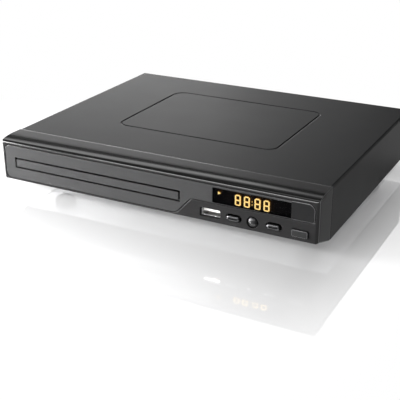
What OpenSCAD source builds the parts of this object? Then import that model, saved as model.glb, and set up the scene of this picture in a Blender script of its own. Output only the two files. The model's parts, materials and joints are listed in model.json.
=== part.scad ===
// Disc player with a motor-driven tray.
// X runs to the right, Y to the back and Z up; the origin is under the middle of the whole object.
// Inside, sizes are counted from the front face of the bezel and from the lower edge of the cover.

/* [Body] */
// Width of the body
body_w = 230; // [226:1:290]
// Depth from the bezel's front face to the cover's rear edge
body_d = 187; // [185:1:240]
// Height of the body without its feet
body_h = 34.5; // [34:0.5:46]
// Height of the feet under the body
foot_h = 3.5; // [2:0.5:8]
// Depth of the bezel, up to its seam with the cover
bezel_d = 21; // [19:0.5:26]
// Wall of the bezel moulding
skin = 2.4; // [1.8:0.1:3]
// Thickness of the sheet steel
sheet = 0.8; // [0.6:0.1:1]
// Height of the front face's lower edge above the cover's
chin_h = 5.7; // [4:0.1:7]

/* [Fascia] */
// Thickness of the fascia plate
fascia_t = 1.2; // [0.8:0.1:1.6]
// Groove round the fascia plate
fascia_gap = 0.3; // [0.2:0.05:0.5]
// Width of the display window
window_w = 51.4; // [40:0.2:62]
// Height of the display window
window_h = 9.9; // [8:0.1:10]
// Height of one digit
digit_h = 7.6; // [5:0.1:8]

/* [Buttons and USB] */
// Length of the pill buttons
pill_w = 9; // [8:0.5:12]
// Height of the pill buttons
pill_h = 3.8; // [3.4:0.2:5]
// Diameter of the round button
round_d = 6.8; // [5:0.2:8.4]
// Width of the rectangular button
slab_w = 9.9; // [8:0.1:12.5]
// Height of the rectangular button
slab_h = 4.3; // [3.5:0.1:6]
// Travel of the buttons
press = 0.5; // [0.2:0.05:0.6]
// Width of the USB socket's shell
usb_w = 13.1; // [11:0.1:15]
// Height of the USB socket's shell
usb_h = 5.1; // [4.5:0.1:6]

/* [Disc and tray] */
// Diameter of the disc
disc_d = 120; // [98:1:124]
// Diameter of the small disc's recess
small_d = 81; // [66:1:84]
// Rim of the tray beside the disc
rim_w = 2.25; // [1.8:0.05:4]
// Height of the tray
tray_h = 5.5; // [5.5:0.1:6]
// Travel of the tray
travel = 125; // [100:1:128]
// Gap round the tray door
door_gap = 0.9; // [0.5:0.1:1.2]
// Height of the tray slot
slot_h = 7.5; // [7:0.1:9]

/* [Gears] */
// Module of the gears
gear_m = 0.8; // [0.7:0.05:0.85]
// Height of a tooth above the pitch line, in modules
addendum = 0.8; // [0.7:0.05:0.9]
// Thinning of every tooth, for backlash
backlash = 0.12; // [0.08:0.02:0.2]
// Radius of the posts that carry the gears
post_r = 1.5; // [1.2:0.1:1.6]

/* [Mechanism] */
// Angle by which the mechanism is lowered to free the tray
tilt = 3.75; // [3:0.05:4]
// Travel of the cam slider
cam_travel = 14; // [12:0.5:16]
// Travel of the pickup
sled_travel = 34; // [28:0.5:36]
// Radius of the guide rods
rod_r = 1.5; // [1.2:0.1:1.8]
// Radial clearance of a running shaft
run = 0.05; // [0.03:0.01:0.08]

/* [Rear sockets] */
// Radius of a phono jack's barrel
jack_r = 4.15; // [4:0.05:4.4]
// Length of a phono jack's barrel behind the panel
jack_l = 8.5; // [7:0.5:10]
// Spacing of the phono jacks
jack_pitch = 14; // [13:0.5:16]

/* [Hidden] */
$fn = 48;
eps = 0.01;              // a cut runs this far past the face that it opens
fit = 0.25;              // clearance of a moulded piece in its opening

// --- Body ---
half_w = body_w/2;
cap_out = 1.1;           // how far the buttons stand out of the bezel
rear_y = body_d - sheet; // outer face of the rear panel
front_y = -(jack_l + rear_y - cap_out)/2;
chin_d = bezel_d - 1.5;  // where the sloping underside meets the cover's lower edge
crown_r = 38;            // big radius of the bezel's top edge
nose_r = 2.5;            // small radius where it turns down to the front face
corner_r = 2.2;          // its upright corners at both ends
crown_d = 12;            // where the top starts to fall
nose_turn = asin((crown_d - nose_r)/(crown_r - nose_r));
brow_z = body_h - crown_r + (crown_r - nose_r)*cos(nose_turn);
inner_w = half_w - sheet - 0.2;
floor_z = sheet;         // top of the base's floor
roof_z = body_h - sheet; // underside of the cover
lip_h = 8;               // rear lip of the cover
wall_h = 12;             // side walls of the base

// --- Front, right-hand group ---
controls_x = half_w - 77.5;  // left end of the sockets and buttons
fascia_z = [6.9, brow_z - 0.5];
fascia_x = (half_w - corner_r - fascia_gap - 0.2)*[-1, 1];
step_z = 18.5;               // lower edge of the fascia under the display
step_x = half_w - 80.6;      // where that edge starts
window_x = half_w - 43;      // middle of the window
window_z = step_z + 0.4 + window_h/2;
button_z = 11.1;
slab_z = button_z - 0.6;
pill_gap = 0.85;             // open ring round a pill button
key_gap = 0.45;              // and round the other two
flange_t = 1.1;
flange_lap = 0.6;            // how far a button's flange reaches sideways behind the bezel's wall
flange_rise = 0.1;           // and how much taller than its hole it is
rib_pitch = 34;          // of the ribs under the bezel's top; the cover's hooks lie between them
board_y = 13.6;              // front face of the front board
board_t = 1.6;
switch_y = 8;                // tip of a switch's plunger
stem_y = switch_y - press - 0.1;
pill_x = [half_w - 54.4, half_w - 28.2];
round_x = half_w - 41.8;
slab_x = half_w - 11.4;
usb_gap = 0.4;               // between the socket's shell and its opening
usb_x = controls_x + usb_gap + usb_w/2 + 0.3;
usb_z = 11.3;
boss_at = [[controls_x + 3, 25.4], [half_w - 7, 27.5]]; // bosses of the front board, x and z

// --- Tray and loader ---
tray_w = disc_d + 2*rim_w;
slot_margin = 10.9;                       // from the body's side to the slot
slot_w = tray_w + 3.4;
slot_z = 14.7;
tray_x = -half_w + slot_margin + slot_w/2;
tray_z = slot_z + 1;
deck_z = tray_z + tray_h;                 // top of the tray
disc_z = deck_z - 2.2;                    // floor of the disc recess
pan_z = disc_z - 1;                       // floor of the small disc recess
web = 1.2;                                // thickness of the tray's floors
door_t = 2.6;
tray_y = door_t;
motor_r = 8.5;
deck_end = bezel_d + 2*motor_r + 1.2;     // gear deck, with the loading motor behind the bezel
disc_y = max(tray_y + disc_d/2 + 3.9, deck_end + 27.3);   // behind the tray's rim and the mechanism's front
tray_end = disc_y + max(disc_d/2 + 21.5, 81.5);           // behind the disc and the mechanism
hub_r = 19;                               // tray's opening round the turntable
slot_end = disc_y + disc_d/2 + 4.5;
rail_w = 3;
slack = 0.5;                              // between the tray and the loader's walls
loader_wall = 3.2;
loader_in = tray_w/2 + slack;
loader_out = loader_in + loader_wall;
loader_y = [skin + 1, tray_end + 4];
tab_x = [-half_w + 18, tray_x + loader_in - 22.6, half_w - 18];   // the bezel's tabs, clear of the loader
ledge_z = tray_z - 0.2;
guide_z = deck_z + 0.3;
loader_top = guide_z + 1.9;
deck_lo = 6;                              // gear deck of the loader
deck_hi = 7.6;

// --- Gear train: pulley gear, middle gear, drive gear, rack ---
drive_teeth = 14;
drive_big = 22;
middle_teeth = 12;
middle_big = 26;
pulley_teeth = 12;
low_z = deck_hi + 0.4;                    // lower gear level
dedendum = addendum + 0.3;
gear_h = 2;
high_z = low_z + gear_h + 0.4;            // upper gear level
rack_x = tray_x + disc_d/2 - 13.2;        // pitch line of the rack
rack_z = [tray_z, disc_z - web];
drive_at = [rack_x + drive_teeth*gear_m/2, 18];
middle_dir = 165;
middle_at = drive_at + (drive_big + middle_teeth)*gear_m/2*[cos(middle_dir), sin(middle_dir)];
pulley_dir = 190;
pulley_at = middle_at + (middle_big + pulley_teeth)*gear_m/2*[cos(pulley_dir), sin(pulley_dir)];
motor_at = [pulley_at.x - 36, bezel_d + motor_r + 0.3];
motor_pulley_r = 3;
belt_w = 1.2;
belt_t = 0.9;
belt_gap = 0.15;
pulley_r = (middle_big + pulley_teeth - middle_teeth)*gear_m/2 - addendum*gear_m - belt_gap - belt_t - 0.21;
// Radius of the drive gear's collar, beside the middle gear.
collar_r = (drive_big + middle_teeth - middle_big)*gear_m/2 - addendum*gear_m - 0.06;

// --- Lowered mechanism: drawn level, then turned down about its rear trunnions ---
pivot = [tray_end - 5, 8];                // y and z of the trunnions
lifter_w = 46;                            // half width of the lifter frame
lifter_y = [deck_end + 5.3, tray_end - 2.5];
lifter_z = [8, 13.4];
trunnion_r = 2;
pin_r = 1.5;
pin_z = 10.8;                             // cam pins with the mechanism level
pin_x = [tray_x - 22, tray_x + 24];
pin_drop = (pivot.x - lifter_y[0])*sin(tilt) + (pin_z - pivot.y)*(1 - cos(tilt));
cam_y = [deck_end + 0.3, deck_end + 3.3];
cam_z = [1.2, 14.2];
plate_z = [12.6, 13.8];                   // mechanism chassis
plate_y = [lifter_y[0] + 6.5, lifter_y[1] - 6];
damper_at = [for (x = [-38.5, 38.5], y = [plate_y[0] + 4.5, plate_y[1] - 4.5]) [tray_x + x, y]];
platform_z = 19.4;                        // underside of the turntable's platform
platform_r = 15;
cone_r = 7.4;
shaft_r = 1.2;
rotor_r = 11;
lens_y = disc_y + 24;                     // lens with the sled against the spindle
rod_x = 27;
rod_z = 10.4;
rod_y = [disc_y + 5.5, plate_y[1] + 0.5];
screw_x = tray_x - 35;
sled_w = 19;
sled_motor_y = disc_y + 51.5;
sled_motor_r = 5;

// --- Boards and rear sockets ---
pcb_z = 6;
pcb_t = 1.6;
pcb_top = pcb_z + pcb_t;
main_x = [half_w - 79, half_w - 5];
main_y = [body_d - 123, rear_y - 4];
power_x = [-half_w + 7, tray_x + 62];
power_y = [loader_y[1] + 2.5, rear_y - 3];
jack_x = [for (i = [0:3]) half_w - 12 - jack_pitch*i];
jack_z = pcb_top + 7.4;
jack_rim = 0.35;                          // a barrel's flange in the panel's hole
hdmi_x = jack_x[3] - jack_pitch/2 - 13;
hdmi_z = pcb_top + 3.4;
inlet_x = -half_w + 20;
inlet_w = 20;
inlet_h = 12;
inlet_z = pcb_top + inlet_h/2 + 0.3;
foot_x = (loader_in + lifter_w)/2 - tray_x;   // between the loader's wall and the lifter frame
foot_at = [for (x = [-foot_x, foot_x], y = [deck_end + 0.8, body_d - 20]) [x, y]];
bridge_z = loader_top + 2.9;
bridge_y = [disc_y - 21, disc_y + 21];
bridge_hole = 11.5;

// --- Helpers ---
module seated() translate([0, front_y, foot_h]) children();
module block(x, y, z) translate([x[0], y[0], z[0]]) cube([x[1] - x[0], y[1] - y[0], z[1] - z[0]]);
module post(at, r, z) translate([at.x, at.y, z[0]]) cylinder(r = r, h = z[1] - z[0]);
module along_x(x) translate([x[0], 0, 0]) rotate([90, 0, 90]) linear_extrude(x[1] - x[0]) children();
module along_y(y) translate([0, y[1], 0]) rotate([90, 0, 0]) linear_extrude(y[1] - y[0]) children();
module rod_y(x, z, r, y) translate([x, y[1], z]) rotate([90, 0, 0]) cylinder(r = r, h = y[1] - y[0]);
module slab2d(w, h, r) {
    square([w - 2*r, h], center = true);
    square([w, h - 2*r], center = true);
    for (x = [-1, 1], y = [-1, 1]) translate([x*(w/2 - r), y*(h/2 - r)]) circle(r);
}
module lowered() translate([0, pivot.x, pivot.y]) rotate([tilt, 0, 0])
    translate([0, -pivot.x, -pivot.y]) children();

// Points of an arc round c.
function arc(c, r, a, b, n = 6) = [for (i = [0:n]) c + r*[cos(a + (b - a)*i/n), sin(a + (b - a)*i/n)]];
function unit(v) = v/norm(v);
function side(a, b, c) = sign((b - a).x*(c - b).y - (b - a).y*(c - b).x);
// Outline round two circles, of radius a at the origin and b at d.
function capsule(d, a, b, n = 12) =
    let (turn = atan2(d.y, d.x), lean = acos((a - b)/norm(d)))
    concat(arc([0, 0], a, turn + lean, turn + 360 - lean, n), arc(d, b, turn - lean, turn + lean, n));
// One rounded corner of an outline.
function rounding(a, b, c, r) =
    let (u = unit(a - b), w = unit(c - b), h = acos(u*w)/2, o = b + unit(u + w)*r/sin(h),
         p = b + u*r/tan(h) - o, q = b + w*r/tan(h) - o, s = atan2(p.y, p.x),
         t = (atan2(q.y, q.x) - s + 540) % 360 - 180)
    arc(o, r, s, s + t);
// An anticlockwise outline with rounded corners, grown outwards by g.
function outline(p, r, g = 0) =
    let (n = len(p), grown = [for (i = [0:n - 1])
        let (a = p[(i + n - 1) % n], b = p[i], c = p[(i + 1) % n], u = unit(a - b), w = unit(c - b))
        b - side(a, b, c)*unit(u + w)*g/sin(acos(u*w)/2)])
    [for (i = [0:n - 1]) let (a = p[(i + n - 1) % n], c = p[(i + 1) % n])
        each rounding(grown[(i + n - 1) % n], grown[i], grown[(i + 1) % n], r[i] + g*side(a, p[i], c))];

// --- Front ---
// Cross-section of the bezel in Y and Z, drawn t inside its outer face.
function bezel_section(t = 0, back = bezel_d) = concat(
    [[back, t], [chin_d, t], [t, chin_h + t*0.6]],
    arc([nose_r, brow_z], max(nose_r - t, eps), 180, 90 + nose_turn, 8),
    arc([crown_d, body_h - crown_r], crown_r - t, 90 + nose_turn, 90, 6),
    [[back, body_h - t]]);

fascia_corners = [
    [fascia_x[0], fascia_z[0]], [step_x - 13.6, fascia_z[0]], [step_x - 3, step_z], [fascia_x[1], step_z],
    [fascia_x[1], fascia_z[1]], [fascia_x[0], fascia_z[1]]];
fascia_radii = [4, 6, 4, 2, 4.4, 4];
module fascia2d(g = 0) polygon(outline(fascia_corners, fascia_radii, g));
module slot2d(g = 0) translate([tray_x, slot_z + slot_h/2])
    square([slot_w + 2*g, slot_h + 2*g], center = true);
module window2d(g = 0) translate([window_x, window_z])
    square([window_w + 2*g, window_h + 2*g], center = true);
module pill2d(g = 0) slab2d(pill_w + 2*g, pill_h + 2*g, pill_h/2 + g - eps);
module slab_key2d(g = 0) slab2d(slab_w + 2*g, slab_h + 2*g, 0.7 + g);
module key_holes2d() {
    for (x = pill_x) translate([x, button_z]) pill2d(pill_gap);
    translate([round_x, button_z]) circle(round_d/2 + key_gap);
    translate([slab_x, slab_z]) slab_key2d(key_gap);
}
// Plan of the bezel, with its two upright front corners rounded.
module bezel_plan() {
    translate([-half_w, corner_r]) square([2*half_w, bezel_d - corner_r]);
    translate([-half_w + corner_r, 0]) square([2*(half_w - corner_r), bezel_d]);
    for (s = [-1, 1]) translate([s*(half_w - corner_r), corner_r]) circle(corner_r);
}

module front_bezel() color("#2f2d2f") seated() {
    difference() {
        intersection() {
            along_x([-half_w, half_w]) polygon(bezel_section());
            linear_extrude(body_h) bezel_plan();
        }
        along_x([-half_w + skin, half_w - skin]) polygon(bezel_section(skin, bezel_d + 1));
        along_y([-1, fascia_t]) fascia2d(fascia_gap);
        along_y([-1, skin + 1]) {
            slot2d();
            window2d();
            key_holes2d();
            translate([usb_x, usb_z]) square([usb_w + 2*usb_gap, usb_h + 2*usb_gap], center = true);
        }
    }
    // Bosses that carry the front board, tabs that lie on the base, and ribs that stiffen the top.
    for (at = boss_at) difference() {
        rod_y(at.x, at.y, 2.4, [skin - eps, board_y]);
        rod_y(at.x, at.y, 0.9, [skin + 4, board_y + 1]);
    }
    for (x = tab_x) block([x - 5, x + 5], [bezel_d - 2, bezel_d + 4], [floor_z, skin - 0.2]);
    for (i = [-floor(half_w/rib_pitch - 0.8) : 1], x = (i - 0.5)*rib_pitch)
        block([x, x + 1.2], [crown_d, bezel_d], [body_h - skin - 2.4, body_h - skin]);
}

module fascia_plate() color("#4a484a") seated() difference() {
    along_y([0, fascia_t]) fascia2d();
    along_y([-1, fascia_t + 1]) {
        slot2d();
        window2d();
    }
}

module display_window() color("#0b0b0d") seated() {
    along_y([0, skin]) window2d(-0.1);
    along_y([skin, skin + 0.9]) window2d(0.45);
}

module display_module() color("#1c1c1e") seated() {
    block([window_x - 25, window_x + 25], [4.6, board_y], [step_z, step_z + 11]);
    for (s = [-1, 1], x = window_x + s*25.7)
        block([x - 0.7, x + 0.7], [7, board_y], [step_z + 2, step_z + 9]);
}

// A seven-segment digit with every segment lit, w wide.
module digit(w) {
    t = 0.95;
    for (z = [-1, 0, 1]) translate([0, z*(digit_h - t)/2]) square([w - 2*t - 0.2, t], center = true);
    for (x = [-1, 1], z = [-1, 1])
        translate([x*(w - t)/2, z*(digit_h - t)/4]) square([t, (digit_h - t)/2 - 0.5], center = true);
}
digit_w = 4.6;
digit_x = [for (x = [-9, -3.05, 3.95, 9.8]) window_x + x];
module display_digits() color("#ffb52e") seated() along_y([4.2, 4.6]) {
    for (x = digit_x) translate([x, window_z]) digit(digit_w);
    for (z = [-1.6, 1.6]) translate([window_x + 0.45, window_z + z]) square([0.95, 0.95], center = true);
    translate([window_x - 21.8, window_z + 2.3]) polygon([[-1.1, -1.2], [1.1, 0], [-1.1, 1.2]]);
}

module front_board() color("#2c5a34") seated() difference() {
    block([controls_x - 3, half_w - 4.4], [board_y, board_y + board_t], [5, brow_z + 0.6]);
    for (at = boss_at) rod_y(at.x, at.y, 1.1, [board_y - 1, board_y + 3]);
}

module tact_switches() color("#b9b9bb") seated() for (x = concat(pill_x, [round_x, slab_x])) {
    block([x - 3, x + 3], [board_y - 3.8, board_y], [button_z - 3, button_z + 3]);
    rod_y(x, button_z, 1.7, [switch_y, board_y - 3.8]);
}

module usb_socket() color("#c9c9cb") seated() difference() {
    union() {
        along_y([0.3, board_y]) translate([usb_x, usb_z]) slab2d(usb_w, usb_h, 0.6);
        for (s = [-1, 1], x = usb_x + s*(usb_w/2 - 0.2)) block([x - 0.4, x + 0.4], [6, board_y],
            [usb_z - usb_h/2 - 0.9, usb_z]);
    }
    along_y([-1, board_y - 0.6]) translate([usb_x, usb_z]) slab2d(usb_w - 0.6, usb_h - 0.6, 0.4);
}

module usb_tongue() color("#e8e8ea") seated() {
    block([usb_x - 5.6, usb_x + 5.6], [0.9, board_y - 0.6], [usb_z + 0.1, usb_z + usb_h/2 - 0.5]);
    block([usb_x - usb_w/2 + 0.5, usb_x + usb_w/2 - 0.5], [board_y - 2.6, board_y - 0.6],
        [usb_z - usb_h/2 + 0.5, usb_z + 0.1 + eps]);
}

module ir_receiver() color("#3a2230") seated() {
    block([half_w - 13, half_w - 7.2], [board_y - 4, board_y], [18, 24.6]);
    translate([half_w - 10.1, board_y - 4, 21.6]) scale([1, 0.8, 1]) sphere(r = 2.2);
}

// --- Casing ---
bead = 0.35;             // depth of the pressed line in the cover's top
bead_w = 1.7;
bead_x = 60.3;
bead_y = [bezel_d + 39.8, bezel_d + 129.5];
module cover_bead(w, z) translate([0, (bead_y[0] + bead_y[1])/2, z[0]])
    linear_extrude(z[1] - z[0]) difference() {
    slab2d(2*bead_x + w, bead_y[1] - bead_y[0] + w, 8 + w/2);
    slab2d(2*bead_x - w, bead_y[1] - bead_y[0] - w, 8 - w/2);
}
// The cover is bent round a small radius along both sides.
module cover_section(t) {
    w = half_w - t;
    r = 1.6 - t;
    translate([-w, -t]) square([2*w, body_h - r]);
    translate([-w + r, -t]) square([2*(w - r), body_h]);
    for (s = [-1, 1]) translate([s*(w - r), body_h - t - r]) circle(r);
}
screw_at = [-0.7*half_w, 0, 0.7*half_w];
module top_cover() color("#585658") seated() {
    difference() {
        union() {
            along_y([bezel_d, body_d]) cover_section(0);
        }
        translate([0, 0, -eps]) along_y([bezel_d - 1, rear_y]) cover_section(sheet);
        block([-half_w - 1, half_w + 1], [rear_y - 1, body_d + 1], [-1, body_h - lip_h]);
        cover_bead(bead_w, [body_h - bead, body_h + 1]);
        for (x = screw_at) rod_y(x, body_h - lip_h/2, 1.6, [rear_y - 1, body_d + 1]);
        // Everything under the floor line is cut away so that both sides end in a plain edge.
        block([-half_w - 1, half_w + 1], [bezel_d - 1, body_d + 1], [-5, 0]);
    }
    // Side sheets run on to the rear edge beside the panel.
    for (s = [-1, 1]) block([s*(half_w - sheet/2) - sheet/2, s*(half_w - sheet/2) + sheet/2],
        [rear_y - 1, body_d], [0, body_h - lip_h]);
    cover_bead(bead_w - 0.6, [roof_z - bead, roof_z]);
    // Hooks that slip behind the bezel's top edge.
    for (x = rib_pitch*[-2, 0, 2]) {
        block([x - 6, x + 6], [bezel_d - 5, bezel_d + 1.4], [body_h - skin - 0.9, body_h - skin - 0.1]);
        block([x - 6, x + 6], [bezel_d + 0.6, bezel_d + 1.4], [body_h - skin - 0.9, roof_z + eps]);
    }
}

vent_x = [for (i = [0:9]) -half_w + 34 + 7*i];
module chassis_base() color("#a9aaac") seated() difference() {
    union() {
        block([-inner_w, inner_w], [bezel_d, rear_y], [0, floor_z]);
        for (s = [-1, 1]) block([s*(inner_w - sheet/2) - sheet/2, s*(inner_w - sheet/2) + sheet/2],
            [bezel_d + 2, rear_y - sheet], [0, wall_h]);
        // Raised standoffs for both boards.
        for (at = concat(main_holes, power_holes)) post(at, 3, [floor_z - eps, pcb_z]);
    }
    for (x = vent_x) block([x, x + 2.4], [rear_y - 30, rear_y - 12], [-1, floor_z + 1]);
    for (at = foot_at) post(at, 2.6, [-1, floor_z + 1]);
    for (at = concat(main_holes, power_holes)) post(at, 1.2, [2, pcb_z + 1]);
    // Long stiffening grooves pressed into the floor.
    for (y = [bezel_d + 24, bezel_d + 106]) block([-half_w + 50, half_w - 50], [y, y + 5], [-1, 0.3]);
}
// Fixing holes of both boards, clear of the sockets along the rear edge.
main_holes = [for (x = [main_x[0] + 4, main_x[1] - 4], y = [main_y[0] + 4, main_y[1] - 18]) [x, y]];
power_holes = [[power_x[0] + 4, power_y[0] + 4], [inlet_x + 14, power_y[1] - 4],
    [power_x[1] - 4, power_y[0] + 4], [power_x[1] - 4, power_y[1] - 4]];

module rear_panel() color("#9d9ea0") seated() difference() {
    union() {
        block([-inner_w, inner_w], [rear_y - sheet, rear_y], [floor_z, roof_z - bead - 0.3]);
        block([-inner_w, inner_w], [rear_y - 9, rear_y - sheet + eps],
            [roof_z - bead - 0.3 - sheet, roof_z - bead - 0.3]);
    }
    for (x = screw_at) rod_y(x, body_h - lip_h/2, 1.6, [rear_y - 2, rear_y + 1]);
    for (x = jack_x) rod_y(x, jack_z, jack_r + jack_rim + 0.05, [rear_y - 2, rear_y + 1]);
    along_y([rear_y - 2, rear_y + 1]) {
        translate([hdmi_x, hdmi_z]) slab2d(15.6, 6.2, 0.8);
        translate([inlet_x, inlet_z]) slab2d(inlet_w + 0.4, inlet_h + 0.4, 1.5);
        for (x = vent_x, z = [0, 1]) translate([x + 14, 13 + 8*z]) square([2.4, 6], center = true);
    }
}

module rubber_feet() color("#1b1b1c") seated()
    for (at = foot_at) translate([at.x, at.y, -foot_h]) rotate_extrude()
    polygon([[0, 0], [6.6, 0], [7.2, 0.6], [7.6, foot_h], [2.4, foot_h], [2.4, foot_h + floor_z],
        [3.2, foot_h + floor_z], [2.2, foot_h + floor_z + 1.4], [0, foot_h + floor_z + 1.4]]);

// A screw along -Z with its head's underside at the origin.
module screw(l, r = 1.2, head = 2.5) difference() {
    union() {
        translate([0, 0, -l]) cylinder(r = r, h = l + eps);
        cylinder(r = head, h = 1.5);
    }
    for (a = [0, 90]) rotate([0, 0, a]) translate([-head*0.65, -0.3, 0.7]) cube([head*1.3, 0.6, 1]);
}
module cover_screws() color("#2a2a2b") seated() for (x = screw_at)
    translate([x, body_d, body_h - lip_h/2]) rotate([-90, 0, 0]) screw(5, 1.5, 2.8);
module board_screws() color("#b8b4a4") seated() {
    for (at = concat(main_holes, power_holes)) translate([at.x, at.y, pcb_top]) screw(5);
    for (at = boss_at) translate([at.x, board_y + board_t, at.y]) rotate([-90, 0, 0]) screw(6, 0.9, 2);
}
bridge_screws = [for (s = [-1, 1], y = bridge_y)
    [tray_x + s*(loader_out - loader_wall/2), y + (y > disc_y ? -5 : 5)]];
ear_at = [for (s = [-1, 1], y = [bezel_d + 8.4, pivot.x - 9]) [tray_x + s*(loader_in - 4.6), y]];
module loader_screws() color("#8d8a7c") seated() {
    for (at = bridge_screws) translate([at.x, at.y, bridge_z + 1.2]) screw(7, 0.9, 2);
    for (at = ear_at) translate([at.x, at.y, floor_z + 2]) screw(2);
}

// --- Boards and sockets ---
module board(x, y, holes) difference() {
    block(x, y, [pcb_z, pcb_top]);
    for (at = holes) post(at, 1.25, [pcb_z - 1, pcb_top + 1]);
}
module main_board() color("#24603a") seated() board(main_x, main_y, main_holes);
module power_board() color("#b08d57") seated() board(power_x, power_y, power_holes);

module board_components() color("#26262a") seated() {
    at = [main_x[0], main_y[0]];
    // Decoder with its finned heat sink, memory, drivers and ribbon connectors.
    block([at.x + 24, at.x + 44], [at.y + 36, at.y + 56], [pcb_top, pcb_top + 1.6]);
    block([at.x + 25, at.x + 43], [at.y + 37, at.y + 55], [pcb_top + 1.6, pcb_top + 2.8]);
    for (i = [0:5], x = at.x + 25 + 3.36*i) block([x, x + 1.2], [at.y + 37, at.y + 55], [pcb_top + 2.8, pcb_top + 8]);
    for (y = [at.y + 34, at.y + 48]) block([at.x + 52, at.x + 63], [y, y + 10], [pcb_top, pcb_top + 1.2]);
    block([at.x + 8, at.x + 16], [at.y + 24, at.y + 34], [pcb_top, pcb_top + 1.4]);
    block([at.x + 27, at.x + 43], [at.y + 3, at.y + 8], [pcb_top, pcb_top + 4.5]);
    block([at.x + 2, at.x + 6.5], [at.y + 36, at.y + 54], [pcb_top, pcb_top + 4.5]);
    block([at.x + 50, at.x + 66], [at.y + 4, at.y + 9], [pcb_top, pcb_top + 6]);
    for (p = [[14, 14], [22, 18], [58, 22], [66, 30], [50, 70], [60, 74], [14, 66], [22, 72]])
        post(at + p, 2.6, [pcb_top, pcb_top + 6.5]);
}

module hdmi_socket() color("#c4c4c8") seated() {
    difference() {
        along_y([rear_y - 11, rear_y + 0.8]) translate([hdmi_x, hdmi_z]) slab2d(15, 5.6, 0.6);
        along_y([rear_y - 9, rear_y + 2]) translate([hdmi_x, hdmi_z]) slab2d(14, 4.6, 0.4);
    }
    block([hdmi_x - 5.2, hdmi_x + 5.2], [rear_y - 9, rear_y - 0.4], [hdmi_z - 0.2, hdmi_z + 0.9]);
    for (s = [-1, 1], x = hdmi_x + s*7) block([x - 0.6, x + 0.6], [rear_y - 9, rear_y - 4], [pcb_top, hdmi_z - 2.7]);
}

module av_jack_body() color("#1d1d20") seated() {
    difference() {
        block([jack_x[3] - 6, jack_x[0] + 6], [rear_y - 12, rear_y - sheet], [pcb_top, jack_z + 6.4]);
        for (x = jack_x) rod_y(x, jack_z, jack_r + jack_rim, [rear_y - 3, rear_y + 1]);
    }
}
module av_jack_barrels() color("#d0cfc8") seated() for (x = jack_x) difference() {
    union() {
        rod_y(x, jack_z, jack_r + jack_rim, [rear_y - 3, rear_y]);
        rod_y(x, jack_z, jack_r, [rear_y - eps, rear_y + jack_l]);
    }
    rod_y(x, jack_z, jack_r - 0.5, [rear_y - 4, rear_y + jack_l + 1]);
}
module av_jack_inserts() color("#e2c22a") seated() for (x = jack_x) difference() {
    rod_y(x, jack_z, jack_r - 0.5, [rear_y - 3, rear_y + jack_l - 0.4]);
    rod_y(x, jack_z, 1.65, [rear_y, rear_y + jack_l + 1]);
}

// Figure-eight inlet: two round wells that run into one another.
module figure8(r, s) {
    for (x = [-s, s]) translate([x, 0]) circle(r);
    square([2*s, 2*r - 2.2], center = true);
}
module mains_inlet() color("#18181a") seated() {
    difference() {
        union() {
            along_y([rear_y - 19, rear_y + 0.6]) translate([inlet_x, inlet_z]) slab2d(inlet_w, inlet_h, 1.3);
            along_y([rear_y - 3, rear_y - sheet]) translate([inlet_x, inlet_z])
                slab2d(inlet_w + 2.4, inlet_h + 0.5, 0.2);
        }
        along_y([rear_y - 12, rear_y + 2]) translate([inlet_x, inlet_z]) figure8(4.4, 4.3);
    }
}
module mains_pins() color("#c8c2b0") seated() for (s = [-1, 1]) {
    rod_y(inlet_x + s*4.3, inlet_z, 1.2, [rear_y - 12, rear_y - 2.6]);
}

module transformer() color("#8a5a2a") seated() {
    x = inlet_x + 34;
    y = (power_y[0] + power_y[1])/2;
    block([x - 9, x + 9], [y - 8, y + 8], [pcb_top + 2, pcb_top + 5]);
    block([x - 9, x + 9], [y - 8, y + 8], [pcb_top + 14, pcb_top + 17]);
    for (s = [-1, 1]) block([x + s*7.5 - 1.5, x + s*7.5 + 1.5], [y - 8, y + 8], [pcb_top + 5, pcb_top + 14]);
    difference() {
        post([x, y], 5.6, [pcb_top + 5, pcb_top + 14]);
        block([x - 7, x - 6], [y - 9, y + 9], [0, 30]);
    }
    block([x - 8, x + 8], [y - 10.5, y - 8], [pcb_top, pcb_top + 4]);
    block([x - 8, x + 8], [y + 8, y + 10.5], [pcb_top, pcb_top + 4]);
}
module capacitors() color("#22242c") seated() {
    y = (power_y[0] + power_y[1])/2;
    post([inlet_x + 17, y - 4], 6.2, [pcb_top, pcb_top + 20]);
    for (i = [0, 1, 2]) post([inlet_x + 57 + 12*i, y + 5], 4, [pcb_top, pcb_top + 14]);
}
module heatsink() color("#9a9a9e") seated() {
    x = inlet_x + 48;
    block([x - 2, x - 0.4], [power_y[0] + 4, power_y[1] - 6], [pcb_top, pcb_top + 16]);
    for (y = [power_y[0] + 4 : 4 : power_y[1] - 7]) block([x - 0.5, x + 2.6], [y, y + 1], [pcb_top, pcb_top + 16]);
}
module front_ribbon() color("#e4e4e0") seated() {
    x = main_x[0] + 35;
    y = main_y[0] + 5.5;
    along_x([x - 6, x + 6]) polygon([[board_y + board_t, 16], [board_y + board_t + 7, 16], [y - 7, 20],
        [y + 0.3, 17], [y + 0.3, pcb_top + 4.5], [y - 0.3, pcb_top + 4.5], [y - 0.3, 16.5], [y - 7.2, 19.6],
        [board_y + board_t + 7.2, 15.5], [board_y + board_t, 15.5]]);
}

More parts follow.
